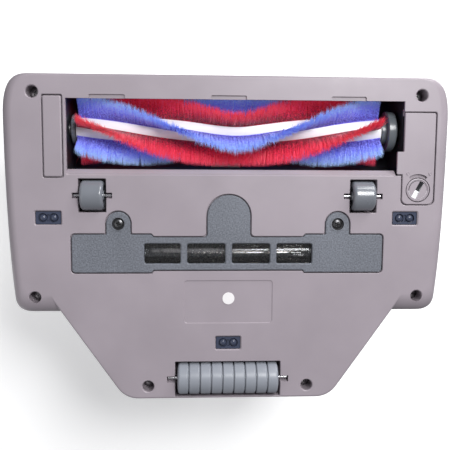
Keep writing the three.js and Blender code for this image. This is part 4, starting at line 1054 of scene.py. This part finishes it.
# %% Turn the wheels, the roller and their axles
wheel_half, wheel_radius, wheel_pin = 7.8, 10.3, 1.25
roller_half_length, roller_radius, roller_pin, rib_count = 35.5, 11.3, 1.5, 9
for side_name, sign in (("left", -1), ("right", 1)):
    profile = roller_profile(wheel_half, wheel_pin + 0.3, wheel_radius, 2.3, 7)
    profile[1:1] = [(-wheel_half, 3.0), (-wheel_half + 0.9, 3.6), (-wheel_half + 0.9, 6.4),
                    (-wheel_half, 7.0)]
    profile[-1:-1] = [(wheel_half, 7.0), (wheel_half - 0.9, 6.4), (wheel_half - 0.9, 3.6), (wheel_half, 3.0)]
    wheel = lathe(profile, (sign * wheel_x, wheel_y, wheel_z), "x", 96)
    piece(f"wheel_{side_name}_tread", wheel, f"wheel_{side_name}", wheel_finish,
          [f"front_wheel_{side_name}"], 0.0, 40)
    low, high = mm(f"front_axle_{side_name}")
    piece(f"wheel_{side_name}_pin", pin(low[0], high[0], wheel_y, wheel_z, wheel_pin), "casing",
          axle_finish,
          [f"front_axle_{side_name}"], 0.0)

rib_pitch = 2 * roller_half_length / rib_count
rib_round = 0.9
roller_profile_points = [(-roller_half_length, roller_pin + 0.3)]
for i in range(rib_count):
    start = -roller_half_length + i * rib_pitch
    first, last = i == 0, i == rib_count - 1
    roller_profile_points.append((start + (0 if first else 0.35), roller_radius - (3 if first else 1.5)))
    for a in quarter(4):
        grow = 1.8 if first else rib_round
        roller_profile_points.append((start + 0.35 + grow * (1 - math.cos(a)),
                                      roller_radius - grow * (1 - math.sin(a))))
    for a in quarter(4)[::-1]:
        grow = 1.8 if last else rib_round
        end = start + rib_pitch - 0.35
        roller_profile_points.append((end - grow * (1 - math.cos(a)),
                                      roller_radius - grow * (1 - math.sin(a))))
    roller_profile_points.append((start + rib_pitch - (0 if last else 0.35),
                                  roller_radius - (3 if last else 1.5)))
roller_profile_points.append((roller_half_length, roller_pin + 0.3))
ribbed = lathe(roller_profile_points, (0, roller_y, roller_z), "x", 96)
piece("ribbed_roller", ribbed, "rear_roll", roller_finish, ["rear_roller"], 0.0, 50)
low, high = mm("rear_axle")
piece("roller_pin", pin(low[0], high[0], roller_y, roller_z, roller_pin), "casing", axle_finish,
      ["rear_axle"], 0.0)

# %% [markdown]
# ## Covers of the belly
# Three flat covers sit flush in the belly. The side cover lets the brush roll out and is held by a lock that
# turns with a coin. The belt cover stays on. The slate cover carries the lamp's four windows. Each is its
# outline pulled up by the cover's thickness, with its small features cut in or joined on, and a bevel that
# catches the light.

# %% Side cover, coin lock and belt cover
cover_top = floor_gap + cover_thick
side_cover = plate(side_cover_outline, 0.4)
notch_line = [(lock_x + r * math.sin(math.radians(a)), lock_y - r * math.cos(math.radians(a)))
              for r, turns in ((lock_radius + 0.7, range(-36, 37, 6)),
                               (lock_radius + 3.0, range(36, -37, -6)))
              for a in turns]
side_cover = cut(side_cover, pulled(circle(lock_x, lock_y, lock_radius + gap + 0.2, 72), 0, 20),
                 pulled(notch_line, floor_gap - 1, floor_gap + 1.9))
dots = []
for off_x in (-7.3, 8.2):
    dot = [(0.6, 0.0), (-0.25, 0.0), (-0.3, 0.5), (-0.5, 0.8), (-0.4, 1.05), (0.0, 1.15), (0.6, 1.15)]
    dots.append(lathe([(floor_gap + h, r) for h, r in dot], (lock_x + off_x, lock_y - 11.4, 0), "z", 20))
tongue = cuboid(mouth[1] + 6, mouth[1] + 11, mouth[3] - 16.1, mouth[3] - 14.1, floor_gap + 1.5,
                floor_gap + 6)
piece("side_panel", joined(side_cover, tongue, *dots), "side_cover", casing_finish,
      ["brush_cover"], 0.5)
lock_profile = [(floor_gap, 0), (floor_gap, lock_radius - 1.9), (floor_gap + 0.45, lock_radius - 1.6),
                (floor_gap + 0.45, lock_radius - 1.1), (floor_gap, lock_radius - 0.8),
                (floor_gap + 0.15, lock_radius),
                (cover_top + 0.8, lock_radius), (cover_top + 0.8, 0)]
lock_disc = lathe(lock_profile, (lock_x, lock_y, 0), "z", 96)
coin_radius, slot_depth = 8.6, 2.6
coin = pulled_along(circle(0, floor_gap + slot_depth - coin_radius, coin_radius, 96), -1.6, 1.6)
lock_mesh = cut(lock_disc, placed(coin, 28, (lock_x, lock_y, 0)))
piece("lock_disc", lock_mesh, "coin_lock", casing_finish, ["brush_cover_lock"], 0.2)
# Painted shade and painted highlight: the slot's faces on one side are painted black as shade, those on the
# other side white as a highlight.
for paint in (black_finish, core_finish):
    lock_mesh.materials.append(paint)
for polygon in lock_mesh.polygons:
    away = (polygon.center.xy / MM) - Vector((lock_x, lock_y))
    if away.length < 6.3 and floor_gap + 0.02 < polygon.center.z / MM < cover_top + 0.7:
        polygon.material_index = 1 if away.y < 0.3 else 2
belt_panel = plate(belt_cover_outline)
piece("belt_panel", belt_panel, "casing", casing_finish, ["belt_cover"], 0.45)

# %% The lamp's cover with its windows
window_edges = (-58.2, -33.3, -28.7, -2.3, 2.3, 28.7, 33.3, 58.2)
window_half = 7
screw_hole = 4.3
lamp_cover = plate(uv_outline)
rims = [pulled(circle(s * uv_tab_x, uv_screw_y, screw_hole + 1.0, 64), floor_gap - 0.35, floor_gap + 1)
        for s in (-1, 1)]
window_tools = []
for x0, x1 in zip(window_edges[::2], window_edges[1::2]):
    y0, y1 = lamp_y - 0.2 - window_half, lamp_y - 0.2 + window_half
    window_tools.append(pulled(rectangle(x0, x1, y0, y1, 1.5), 0, 20))
    window_tools.append(skin([[(x, y, z) for x, y in rectangle(x0 - g, x1 + g, y0 - g, y1 + g, 1.5 + g)]
                              for g, z in ((1.3, floor_gap - 0.6), (0, floor_gap + 0.7))]))
screw_tools = []
for s in (-1, 1):
    screw_tools.append(pulled(circle(s * uv_tab_x, uv_screw_y, screw_hole, 64), 0, floor_gap + 1.5))
    screw_tools.append(pulled(circle(s * uv_tab_x, uv_screw_y, 1.85, 32), 0, 20))
lamp_cover = cut(joined(lamp_cover, *rims), *window_tools, *screw_tools)
piece("lamp_cover", lamp_cover, "casing", slate_finish, ["uv_cover"], 0.4)
# Painted shade: the faces inside the two screw holes are painted black, as the shade in the holes.
lamp_cover.materials.append(black_finish)
for polygon in lamp_cover.polygons:
    x, y, z = polygon.center / MM
    if math.hypot(abs(x) - uv_tab_x, y - uv_screw_y) < screw_hole + 0.1 and z > floor_gap + 0.1:
        polygon.material_index = 1

# %% [markdown]
# ## Screws
# Eight screws hold the belly: six deep in the casing's corners and two short ones in the lamp's cover. Each
# has a slightly domed head with a cross-shaped recess. They are turned, then the recess is cut with two
# tapered arms.


# %% Turn and cut the screws
def screw(head_z, head_radius, head_height, shank_radius, top, x, y):
    """A domed cross-head screw that points up."""
    profile = [(head_z + 0.1, 0.0), (head_z + 0.1, head_radius * 0.5), (head_z + 0.45, head_radius * 0.9)]
    profile += [(head_z + 0.8, head_radius), (head_z + head_height, head_radius),
                (head_z + head_height, shank_radius)]
    profile += [(top - 1, shank_radius), (top, 0.0)]
    return cut(lathe(profile, (x, y, 0), "z", 48), *cross_recess(x, y, head_z))


for i, (x, y) in enumerate(screw_places):
    low, high = mm(f"casing_screw_{i + 1}")
    made = screw(low[2], (high[0] - low[0]) / 2, 2.0, 1.5, high[2], (low[0] + high[0]) / 2,
                 (low[1] + high[1]) / 2)
    piece(f"corner_screw_{i + 1}", made, "casing", screw_finish, [f"casing_screw_{i + 1}"], 0.0)
for side_name, sign in (("left", -1), ("right", 1)):
    made = screw(floor_gap + 0.35, 3.2, 1.1, 1.5, ledge_top + 6, sign * uv_tab_x, uv_screw_y)
    piece(f"cover_screw_{side_name}", made, "casing", dark_screw, [f"uv_cover_screw_{side_name}"],
          0.0)

# %% [markdown]
# ## Lamp
# Behind the windows lies a quartz tube with a metal cap at each end. Two nickel leads and a coiled filament
# stand in the glass at each end, and a bent sheet behind the tube throws its light down. The tube is a thin
# hollow glass, so the light bends twice in its wall, as it does in the real one.

# %% Tube, electrodes, caps, pane and reflector
tube_radius, tube_half = 7.75, 59.7
tube_profile = roller_profile(tube_half, tube_radius - 0.9, tube_radius, 0.4)
lead_finish = steel("nickel_lead", (0.95, 0.94, 0.91), 0.35)
electrodes = []
for sign in (-1, 1):
    root = sign * (tube_half - 0.4)
    electrodes.append(pin(*sorted((root, root - sign * 4.5)), lamp_y, lamp_z, 3.4, 1.6))
    for off in (-2.1, 2.1):
        electrodes.append(pin(*sorted((root, root - sign * 13)), lamp_y + off, lamp_z - 1.0, 0.55, 0.2, 16))
    coil_rings = []
    for k in range(61):
        t = k / 60
        a = 2 * math.pi * 8 * t
        centre = Vector((root - sign * 12 + 1.0 * math.cos(a), lamp_y - 2.1 + 4.2 * t,
                         lamp_z - 1.0 + 1.0 * math.sin(a)))
        coil_rings.append([tuple(centre + Vector((0.28 * math.cos(b), 0, 0.28 * math.sin(b))))
                           for b in (0, 1.57, 3.14, 4.71)])
    electrodes.append(skin(coil_rings))
glass = lathe(tube_profile, (0, lamp_y, lamp_z), "x", 96)
metal_parts = merged(*electrodes)
for polygon in metal_parts.polygons:
    polygon.material_index = 1
lamp_tube = piece("lamp_tube", merged(glass, metal_parts), "casing", tube_finish, ["uv_lamp"],
                  0.0)
lamp_tube.data.materials.append(lead_finish)
for side_name, sign in (("left", -1), ("right", 1)):
    near = sign * (tube_half + gap)
    far = near + sign * 7.4
    cap_profile = roller_profile(3.7, 1.0, tube_radius + 0.4, 0.8)
    cap = lathe(cap_profile[1:-1] + [(3.7, 0.0), (-3.7, 0.0)], ((near + far) / 2, lamp_y, lamp_z), "x", 64)
    pins = [pin(*sorted((far - sign, far + sign * 4.9)), lamp_y + off, lamp_z, 0.9, 0.3, 20)
            for off in (-2, 2)]
    piece(f"cap_{side_name}", joined(cap, *pins), "casing", cap_finish,
          [f"lamp_cap_{side_name}"], 0.0)
low, high = mm("uv_window")
pane = pulled(rectangle(low[0], high[0], low[1], high[1], 1.2), low[2], high[2])
piece("lamp_pane", pane, "casing", pane_finish, ["uv_window"], 0.1)
low, high = mm("uv_reflector")
sheet_line = [(low[1] + 0.1, low[2]), (low[1] + 0.1, lamp_z - 2)]
bow = [(lamp_y - 10.5 * math.cos(math.radians(a)),
        lamp_z - 2 + (high[2] - lamp_z + 2) * math.sin(math.radians(a)))
       for a in range(10, 171, 10)]
sheet_line += bow + [(high[1] - 0.1, lamp_z - 2), (high[1] - 0.1, low[2])]
inner_line = [(lamp_y + (y - lamp_y) * 0.93, z - (0.7 if z > lamp_z - 2 else 0))
              for y, z in reversed(sheet_line)]
bent_sheet = pulled_along([*sheet_line, *inner_line], low[0], high[0])
piece("lamp_reflector", bent_sheet, "casing", mirror_finish, ["uv_reflector"], 0.1, 50)

# %% [markdown]
# ## Lift sensors
# Three small windows hold an infrared sender and receiver each. They switch the lamp off when the sweeper is
# lifted. Each block is a dark plinth with two round pockets, and in each pocket sits a domed lens, one
# bluish and one greenish.

# %% Sensor blocks and lenses
lens_blue = plastic("lens_smoky_blue", (0.10, 0.13, 0.80), 0.08, grain=0.01, drift=0.3, coat=1.0)
lens_green = plastic("lens_smoky_green", (0.05, 0.20, 0.30), 0.08, grain=0.01, drift=0.3, coat=1.0)
for name, (x, y) in zip(("left", "right", "rear"), sensor_places):
    half_x, half_y = sensor_half[0] - gap, sensor_half[1] - gap
    plinth = pulled(rectangle(x - half_x, x + half_x, y - half_y, y + half_y, 0.8), floor_gap + 0.9,
                    ledge_top + 3)
    pockets = [pulled(circle(x + off, y, 3.2, 40), 0, floor_gap + 2.6) for off in (-3.7, 3.7)]
    pockets.append(cuboid(x - 0.8, x + 0.8, y - 2.4, y + 2.4, 0, floor_gap + 1.9))
    body = cuboid(x - half_x - 2, x + half_x + 2, y - 6, y + 6, ledge_top + gap, ledge_top + 7)
    block = joined(cut(plinth, *pockets), body)
    lenses = []
    for k, off in enumerate((-3.7, 3.7)):
        dome = [(floor_gap + 3.0, 0.0), (floor_gap + 3.0, 2.6)]
        dome += [(floor_gap + 2.6 - 2.2 * math.sin(a), 2.6 * math.cos(a)) for a in quarter(8)]
        lens = lathe(dome, (x + off, y, 0), "z", 40)
        for polygon in lens.polygons:
            polygon.material_index = 1 + k
        lenses.append(lens)
    sensor = piece(f"sensor_{name}", merged(block, *lenses), "casing", sensor_finish,
                   [f"lift_sensor_{name}"], 0.0, 40)
    sensor.data.materials.append(lens_blue)
    sensor.data.materials.append(lens_green)

# %% [markdown]
# ## Label recess
# The plate has a shallow framed recess for a label. The recess stays empty here but for a plain round paper
# dot.

# %% The paper dot
dot_profile = [(floor_gap + 0.2, 0.0), (floor_gap + 0.2, 4.1), (floor_gap + 0.3, 4.2),
               (floor_gap + 0.6, 4.2)]
paper_dot = lathe([*dot_profile, (floor_gap + 0.6, 0.0)], (0, uv_rear + 18, 0), "z", 48)
paper_finish = plastic("label_paper", (0.72, 0.70, 0.71), 0.6, grain=0.3, grain_scale=3000)
piece("label_dot", paper_dot, "casing", paper_finish, edge=0.0)

# %% [markdown]
# ## The upper casing
# The pale upper half sits on the belly's rim. Its hood rises over the brush, and a lower deck covers the
# motor and the battery. It is the same two skins as below, carried on upwards along a quarter circle. A
# collar round the cup and a column for the handle are joined on. Then come the holes: the cup's room, the
# ways for the air, the latch, the grilles and the charging socket.

# %% Rings, collar and column
top_high = mm("top_shell")[1]
hood_top = cup_low[2] - gap
deck_top = hood_top - 8
column_top = top_high[2]
column_front, column_rear = cup_y + cup_radius - 10, cup_y + cup_radius + 11
column_half = 19
cup_top = cup_high[2]


def upper_form(thick, steps=12):
    """The upper casing's outer form, moved in by thick."""
    foot = parting + gap - (1 if thick else 0)
    hood = [wing_ring(foot, hood_inset, 0, thick)]
    for a in quarter(steps)[0 if thick else 1:]:
        z = parting + gap + (hood_top - thick - parting - gap) * math.sin(a)
        hood.append(wing_ring(z, hood_inset, 1 - math.cos(a), thick))
    deck_start = deck_top - 10
    deck = [tail_ring(foot, tail_draft - thick)]
    for a in quarter(max(4, steps - 2)):
        z = deck_start + (deck_top - thick - deck_start) * math.sin(a)
        deck.append(tail_ring(z, tail_draft - thick - 12 * (1 - math.cos(a))))
    return joined(skin(hood), skin(deck))


def tube(inner, outer, z0, z1, x=0.0, y=0.0, edge=0.8):
    """An upright ring with a rounded upper rim."""
    rim = [(z1 - edge * (1 - math.sin(a)), outer - edge * (1 - math.cos(a))) for a in quarter(4)]
    return lathe([(z0, inner), (z0, outer), *rim, (z1, inner)], (x, y, 0), "z", 96)


column_outline = rectangle(-column_half, column_half, column_front, column_rear, 6)
column_hollow = rectangle(-column_half + wall, column_half - wall, column_front + wall, column_rear - wall,
                          4)
collar = tube(cup_radius + gap, cup_radius + 3, hood_top - 1, hood_top + 5, 0, cup_y)
column = cut(pulled(column_outline, hood_top - 6, column_top),
             pulled(column_hollow, hood_top - 10, column_top - wall))
inner_wall = joined(pulled(circle(0, cup_y, cup_radius + gap + wall, 96), hood_top - 4, column_top),
                    pulled(column_outline, hood_top - 6, column_top), how="INTERSECT")
print("hood", round(hood_top, 1), "deck", round(deck_top, 1), "column", round(column_top, 1), "mm high")

# %% Cut the holes of the upper casing
latch_y, latch_half = column_rear - 7, (9, 3.4)
port_y, port_half = brush_y + 21, (11.5, 5.5)
grille_z = (parting + 2.5, parting + 12.5)
grille_half = 23
grille_y = (wing_rear + rear) / 2 + 1
grille_x = slant_x + tail_draft * math.hypot(1, slant) - grille_y * slant
grille_turn = 90 + math.degrees(math.atan(slant))


def on_slant(mesh, sign):
    """Moves a mesh made along X onto a slanting side; the left one is its mirror image."""
    placed(mesh, grille_turn, (grille_x, grille_y, 0))
    if sign < 0:
        mesh.transform(Matrix.Scale(-1, 4, (1, 0, 0)))
        mesh.flip_normals()
    return mesh


upper = joined(cut(upper_form(0), upper_form(wall, 5)), collar, column, inner_wall)
holes = [
    pulled(circle(0, cup_y, cup_radius + gap, 96), hood_top, hood_top + 200),
    cuboid(-port_half[0], port_half[0], port_y - port_half[1], port_y + port_half[1], hood_top - 10,
           hood_top + 1),
    pulled(circle(0, cup_y, 9), hood_top - 10, hood_top + 1),
    cuboid(-latch_half[0], latch_half[0], latch_y - latch_half[1], latch_y + latch_half[1], column_top - 8,
           column_top + 1),
    cuboid(-6.4, 6.4, rear - 12, rear + 5, parting + 4, parting + 13),
]
holes += [on_slant(cuboid(-grille_half, grille_half, -6, 6, *grille_z), sign) for sign in (-1, 1)]
piece("upper_casing", cut(upper, *holes), "casing", upper_finish, ["top_shell"], 0.4)

# %% [markdown]
# ## Grilles, socket and latch
# Air leaves through a slotted grille in each slanting side. The slots are cut one by one from a plate. The
# charging socket is a block with a round well and a thin pin in it. The latch has three ribs for the thumb.

# %% Make the grilles, the socket and the latch
slot_count = 9
for side_name, sign in (("left", -1), ("right", 1)):
    half = grille_half - gap
    plate = cuboid(-half, half, 0.2, wall, grille_z[0] + gap, grille_z[1] - gap)
    slots = []
    for i in range(slot_count):
        x = (i - (slot_count - 1) / 2) * ((2 * half - 4) / slot_count)
        slots.append(placed(pulled(rectangle(x - 1, x + 1, -3, 3, 0.98), -1, 5), 90, (0, 0, 0), "X"))
        placed(slots[-1], 0, (0, 4, (grille_z[0] + grille_z[1]) / 2))
    piece(f"grille_{side_name}", on_slant(cut(plate, *slots), sign), "casing", slate_finish,
          [f"exhaust_grille_{side_name}"], 0.25)
low, high = mm("charge_socket")
well = placed(lathe([(-9, 0), (-9, 2.8), (1, 2.8), (1, 0)], (0, 0, 0), "x", 48), 90)
socket = cut(cuboid(low[0], high[0], low[1], high[1], low[2], high[2]),
             placed(well, 0, (0, rear - 0.6, parting + 8.5)))
contact = placed(pin(-8.5, -1.5, 0, 0, 0.7, 0.3, 20), 90, (0, rear - 0.6, parting + 8.5))
piece("charging_socket", joined(socket, contact), "casing", black_finish,
      ["charge_socket"], 0.3)
low, high = mm("cup_latch")
latch = pulled(rectangle(low[0], high[0], low[1], high[1], 1.0), low[2], high[2] - 0.4)
ribs = [pulled(rectangle(low[0] + 1, high[0] - 1, y - 0.45, y + 0.45, 0.4), high[2] - 1, high[2])
        for y in (latch_y - 1.9, latch_y, latch_y + 1.9)]
piece("thumb_latch", joined(latch, *ribs), "latch", slate_finish, ["cup_latch"], 0.25)

# %% [markdown]
# ## Handle
# The handle leaves the column level, bends over behind and comes down to the deck as a post. Its section is
# a soft rectangle, carried along the line. A ribbed rubber pad lies under the fingers. It is carried along
# the same line, and a slightly larger copy of it is cut out of the handle first, so that the two never
# touch.

# %% The handle's line and section
handle_z = column_top - 11
handle_start = column_rear + gap
post_y = rear - 13.5
bend = 34
line_knee, line_foot = (post_y - bend, handle_z + 1), (post_y, handle_z - bend - 2)
line = [(handle_start, handle_z)]
line += [(handle_start + (line_knee[0] - handle_start) * k / 20, handle_z + k / 20) for k in range(1, 21)]
line += curve(line_knee, (post_y - 10, handle_z + 2), (post_y, handle_z - 12), line_foot, 40)
line += [(post_y, line_foot[1] + (deck_top + gap - line_foot[1]) * k / 12) for k in range(1, 13)]
lengths = [0.0]
for a, b in zip(line, line[1:]):
    lengths.append(lengths[-1] + math.dist(a, b))


def on_line(t):
    """A point of the handle's line and its direction, at a share t of its length."""
    far = t * lengths[-1]
    k = max(1, min(len(line) - 1, next((i for i, d in enumerate(lengths) if d >= far), len(line) - 1)))
    share = (far - lengths[k - 1]) / (lengths[k] - lengths[k - 1])
    here = Vector(line[k - 1]).lerp(Vector(line[k]), share)
    before, after = Vector(line[max(0, k - 3)]), Vector(line[min(len(line) - 1, k + 2)])
    return here, (after - before).normalized()


def carried(start, end, steps, section, corners=48):
    """A skin along the handle's line; section(t) gives half width, lower face, upper face and squareness."""
    rings = []
    for i in range(steps + 1):
        t = start + (end - start) * i / steps
        here, way = on_line(t)
        if t in (0, 1):
            way = Vector((1, 0)) if t == 0 else Vector((0, -1))
        half, low_face, high_face, square = section(t)
        centre, tall = (low_face + high_face) / 2, (high_face - low_face) / 2
        ring = []
        for j in range(corners):
            a = 2 * math.pi * j / corners
            c, s = (math.copysign(abs(v) ** (2 / square), v) for v in (math.cos(a), math.sin(a)))
            out = centre + tall * s
            ring.append((half * c, here.x - way.y * out, here.y + way.x * out))
        rings.append(ring)
    return skin(rings)


print("handle line", round(lengths[-1]), "mm")

# %% Handle, grip pad and buttons
pad_start, pad_end, grip_low = 0.1, 0.62, -11
rib_spacing = 4.2


def pad_section(t):
    """The pad's section: ribs swell it below, and it thins out at both ends."""
    edge = min(1, (t - pad_start) * 40, (pad_end - t) * 40)
    swell = 0.5 * (1 + math.cos(2 * math.pi * t * lengths[-1] / rib_spacing)) / 2
    return 11.5, grip_low - 1.3 * max(edge, 0.2) - swell, grip_low + 1.4, 4


handle = carried(0, 1, 70, lambda t: (15, -11, 11, 2.8))
room = carried(pad_start - 0.004, pad_end + 0.004, 24, lambda t: (11.5 + gap, -15, grip_low + 1.4 + gap, 4))
button_y = [handle_start + 16, handle_start + 33]
button_half, button_top = (6.5, 6), handle_z + 12.6
wells = [pulled(rectangle(-button_half[0] - gap, button_half[0] + gap, y - button_half[1] - gap,
                          y + button_half[1] + gap, 2.5), button_top - 7, button_top + 5) for y in button_y]
piece("grip_handle", cut(handle, room, *wells), "casing", upper_finish, ["handle"], 0.3, 45)
pad = carried(pad_start, pad_end, 150, pad_section)
piece("finger_pad", pad, "casing", grip_finish, ["handle_grip"], 0.0, 60)
for name, body, y, paint, slot_name in (
    ("power_button", "power_key", button_y[0], red_finish, "red_button"),
    ("mode_button", "mode_key", button_y[1], slate_finish, "dark_plastic"),
):
    rings = []
    for z, g in ((button_top - 4, 0), (button_top - 0.9, 0), (button_top - 0.4, -0.15),
                 (button_top - 0.1, -0.5),
                 (button_top, -1.0), (button_top, -1.6), (button_top - 0.35, -2.6),
                 (button_top - 0.5, -4.2)):
        outline = rectangle(-button_half[0] - g, button_half[0] + g, y - button_half[1] - g,
                            y + button_half[1] + g,
                            max(0.6, 2.5 + g))
        rings.append([(px, py, z) for px, py in outline])
    piece(f"{name}_cap", skin(rings), body, paint, [name], 0.0, 40)

# %% [markdown]
# ## Cup, lid and filter
# The cup is a clear moulded pot with a rounded foot, and dust enters through a slot in its floor. A pale lid
# with a finger bar closes it. The filter inside is paper folded into pleats round a hole: its outline is a
# star with forty points, pulled up between two rings.

# %% Make the cup, the lid and the filter
cup_foot = cup_low[2]
cup_wall = 2
outlet = 9
foot_arc = [(cup_foot + 3 * (1 - math.sin(a)), cup_radius - 3 * (1 - math.cos(a))) for a in quarter(6)][::-1]
inner_arc = [(cup_foot + cup_wall + 3 * (1 - math.sin(a)), cup_radius - cup_wall - 3 * (1 - math.cos(a)))
             for a in quarter(6)]
cup_profile = [(cup_foot, outlet), *foot_arc, (cup_top - 0.5, cup_radius), (cup_top, cup_radius - 0.5),
               (cup_top, cup_radius - cup_wall), *inner_arc, (cup_foot + cup_wall, outlet)]
inlet = cuboid(-port_half[0], port_half[0], port_y - port_half[1], port_y + port_half[1], cup_foot - 1,
               cup_foot + 3)
cup = cut(lathe(cup_profile, (0, cup_y, 0), "z", 128), inlet)
piece("clear_cup", cup, "cup", cup_finish, ["dust_cup"], 0.0)
lid_low, lid_high = mm("cup_lid")
lid_face = lid_high[2] - 4
lid_arc = [(lid_face - 4 * (1 - math.sin(a)), cup_radius - 4 * (1 - math.cos(a))) for a in quarter(8)]
lid_profile = [(lid_low[2], 0), (lid_low[2], cup_radius - 0.6), (lid_low[2] + 0.6, cup_radius),
               (lid_low[2] + 1.4, cup_radius), (lid_low[2] + 1.6, cup_radius - 0.5),
               (lid_low[2] + 2.2, cup_radius - 0.5),
               (lid_low[2] + 2.4, cup_radius), *lid_arc, (lid_face, 24), (lid_face - 0.5, 23.4),
               (lid_face - 0.5, 0)]
lid = lathe(lid_profile, (0, cup_y, 0), "z", 128)
bar = skin([[(x, y, z) for x, y in rectangle(-16 + g, 16 - g, cup_y - 4 + g, cup_y + 4 - g, 3.4 - g)]
            for g, z in ((-0.0, lid_face - 2), (0.0, lid_face + 2.6), (0.4, lid_face + 3.5),
                         (1.2, lid_face + 4))])
piece("lid", joined(lid, bar), "cup_top", upper_finish, ["cup_lid"], 0.3)
filter_low, filter_high = mm("dust_filter")
pleats, pleat_out, pleat_in, filter_bore = 40, filter_high[0] - 0.6, filter_high[0] - 3.2, filter_high[0] - 5
star = []
for k in range(pleats * 4):
    a = 2 * math.pi * k / (pleats * 4)
    r = (pleat_in, (pleat_in + pleat_out) / 2 - 0.3, pleat_out, (pleat_in + pleat_out) / 2 + 0.3)[k % 4]
    star.append((r * math.cos(a), cup_y + r * math.sin(a)))
pleated = cut(pulled(star, filter_low[2] + 1.5, filter_high[2] - 2),
              pulled(circle(0, cup_y, filter_bore), 0, filter_high[2] - 3))
rings = [tube(filter_bore, filter_high[0], filter_low[2], filter_low[2] + 3, 0, cup_y),
         lathe([(filter_high[2] - 3, 0), (filter_high[2] - 3, filter_high[0]),
                (filter_high[2], filter_high[0]),
                (filter_high[2], 0)], (0, cup_y, 0), "z", 96)]
piece("pleated_filter", joined(pleated, *rings), "cup_top", filter_finish, ["dust_filter"],
      0.0, 30)

# %% [markdown]
# ## The works inside
# The brush housing, bearings, belt drive, motors, fan, battery and control board keep the shapes of the
# working model. They are seen only through the mouth, or with a cover off. Each gets its own finish, and a
# small bevel so that its edges are not knife sharp.

# %% Dress the inner pieces
inner_pieces = {
    "brush_housing": (black_finish, 0.4), "brush_bearing_left": (axle_finish, 0.3),
    "brush_bearing_right": (black_finish, 0.3), "brush_pulley": (black_finish, 0.2),
    "motor_pulley": (axle_finish, 0.2),
    "drive_belt": (belt_finish, 0.2), "brush_motor": (can_finish, 0.6), "suction_motor": (can_finish, 0.8),
    "fan_impeller": (core_finish, 0.2), "battery_pack": (battery_finish, 1.2),
    "control_board": (board_finish, 0.2),
}
for name, (finish, width) in inner_pieces.items():
    thing = nodes[name]
    for entry in thing.material_slots:
        entry.material = finish
    edge = thing.modifiers.new("edge", "BEVEL")
    edge.width = width * MM
    edge.segments = 2
    edge.limit_method = "ANGLE"
    edge.angle_limit = math.radians(35)
    smooth = thing.modifiers.new("normals", "WEIGHTED_NORMAL")
    smooth.keep_sharp = True
print("dressed", len(inner_pieces), "inner pieces")
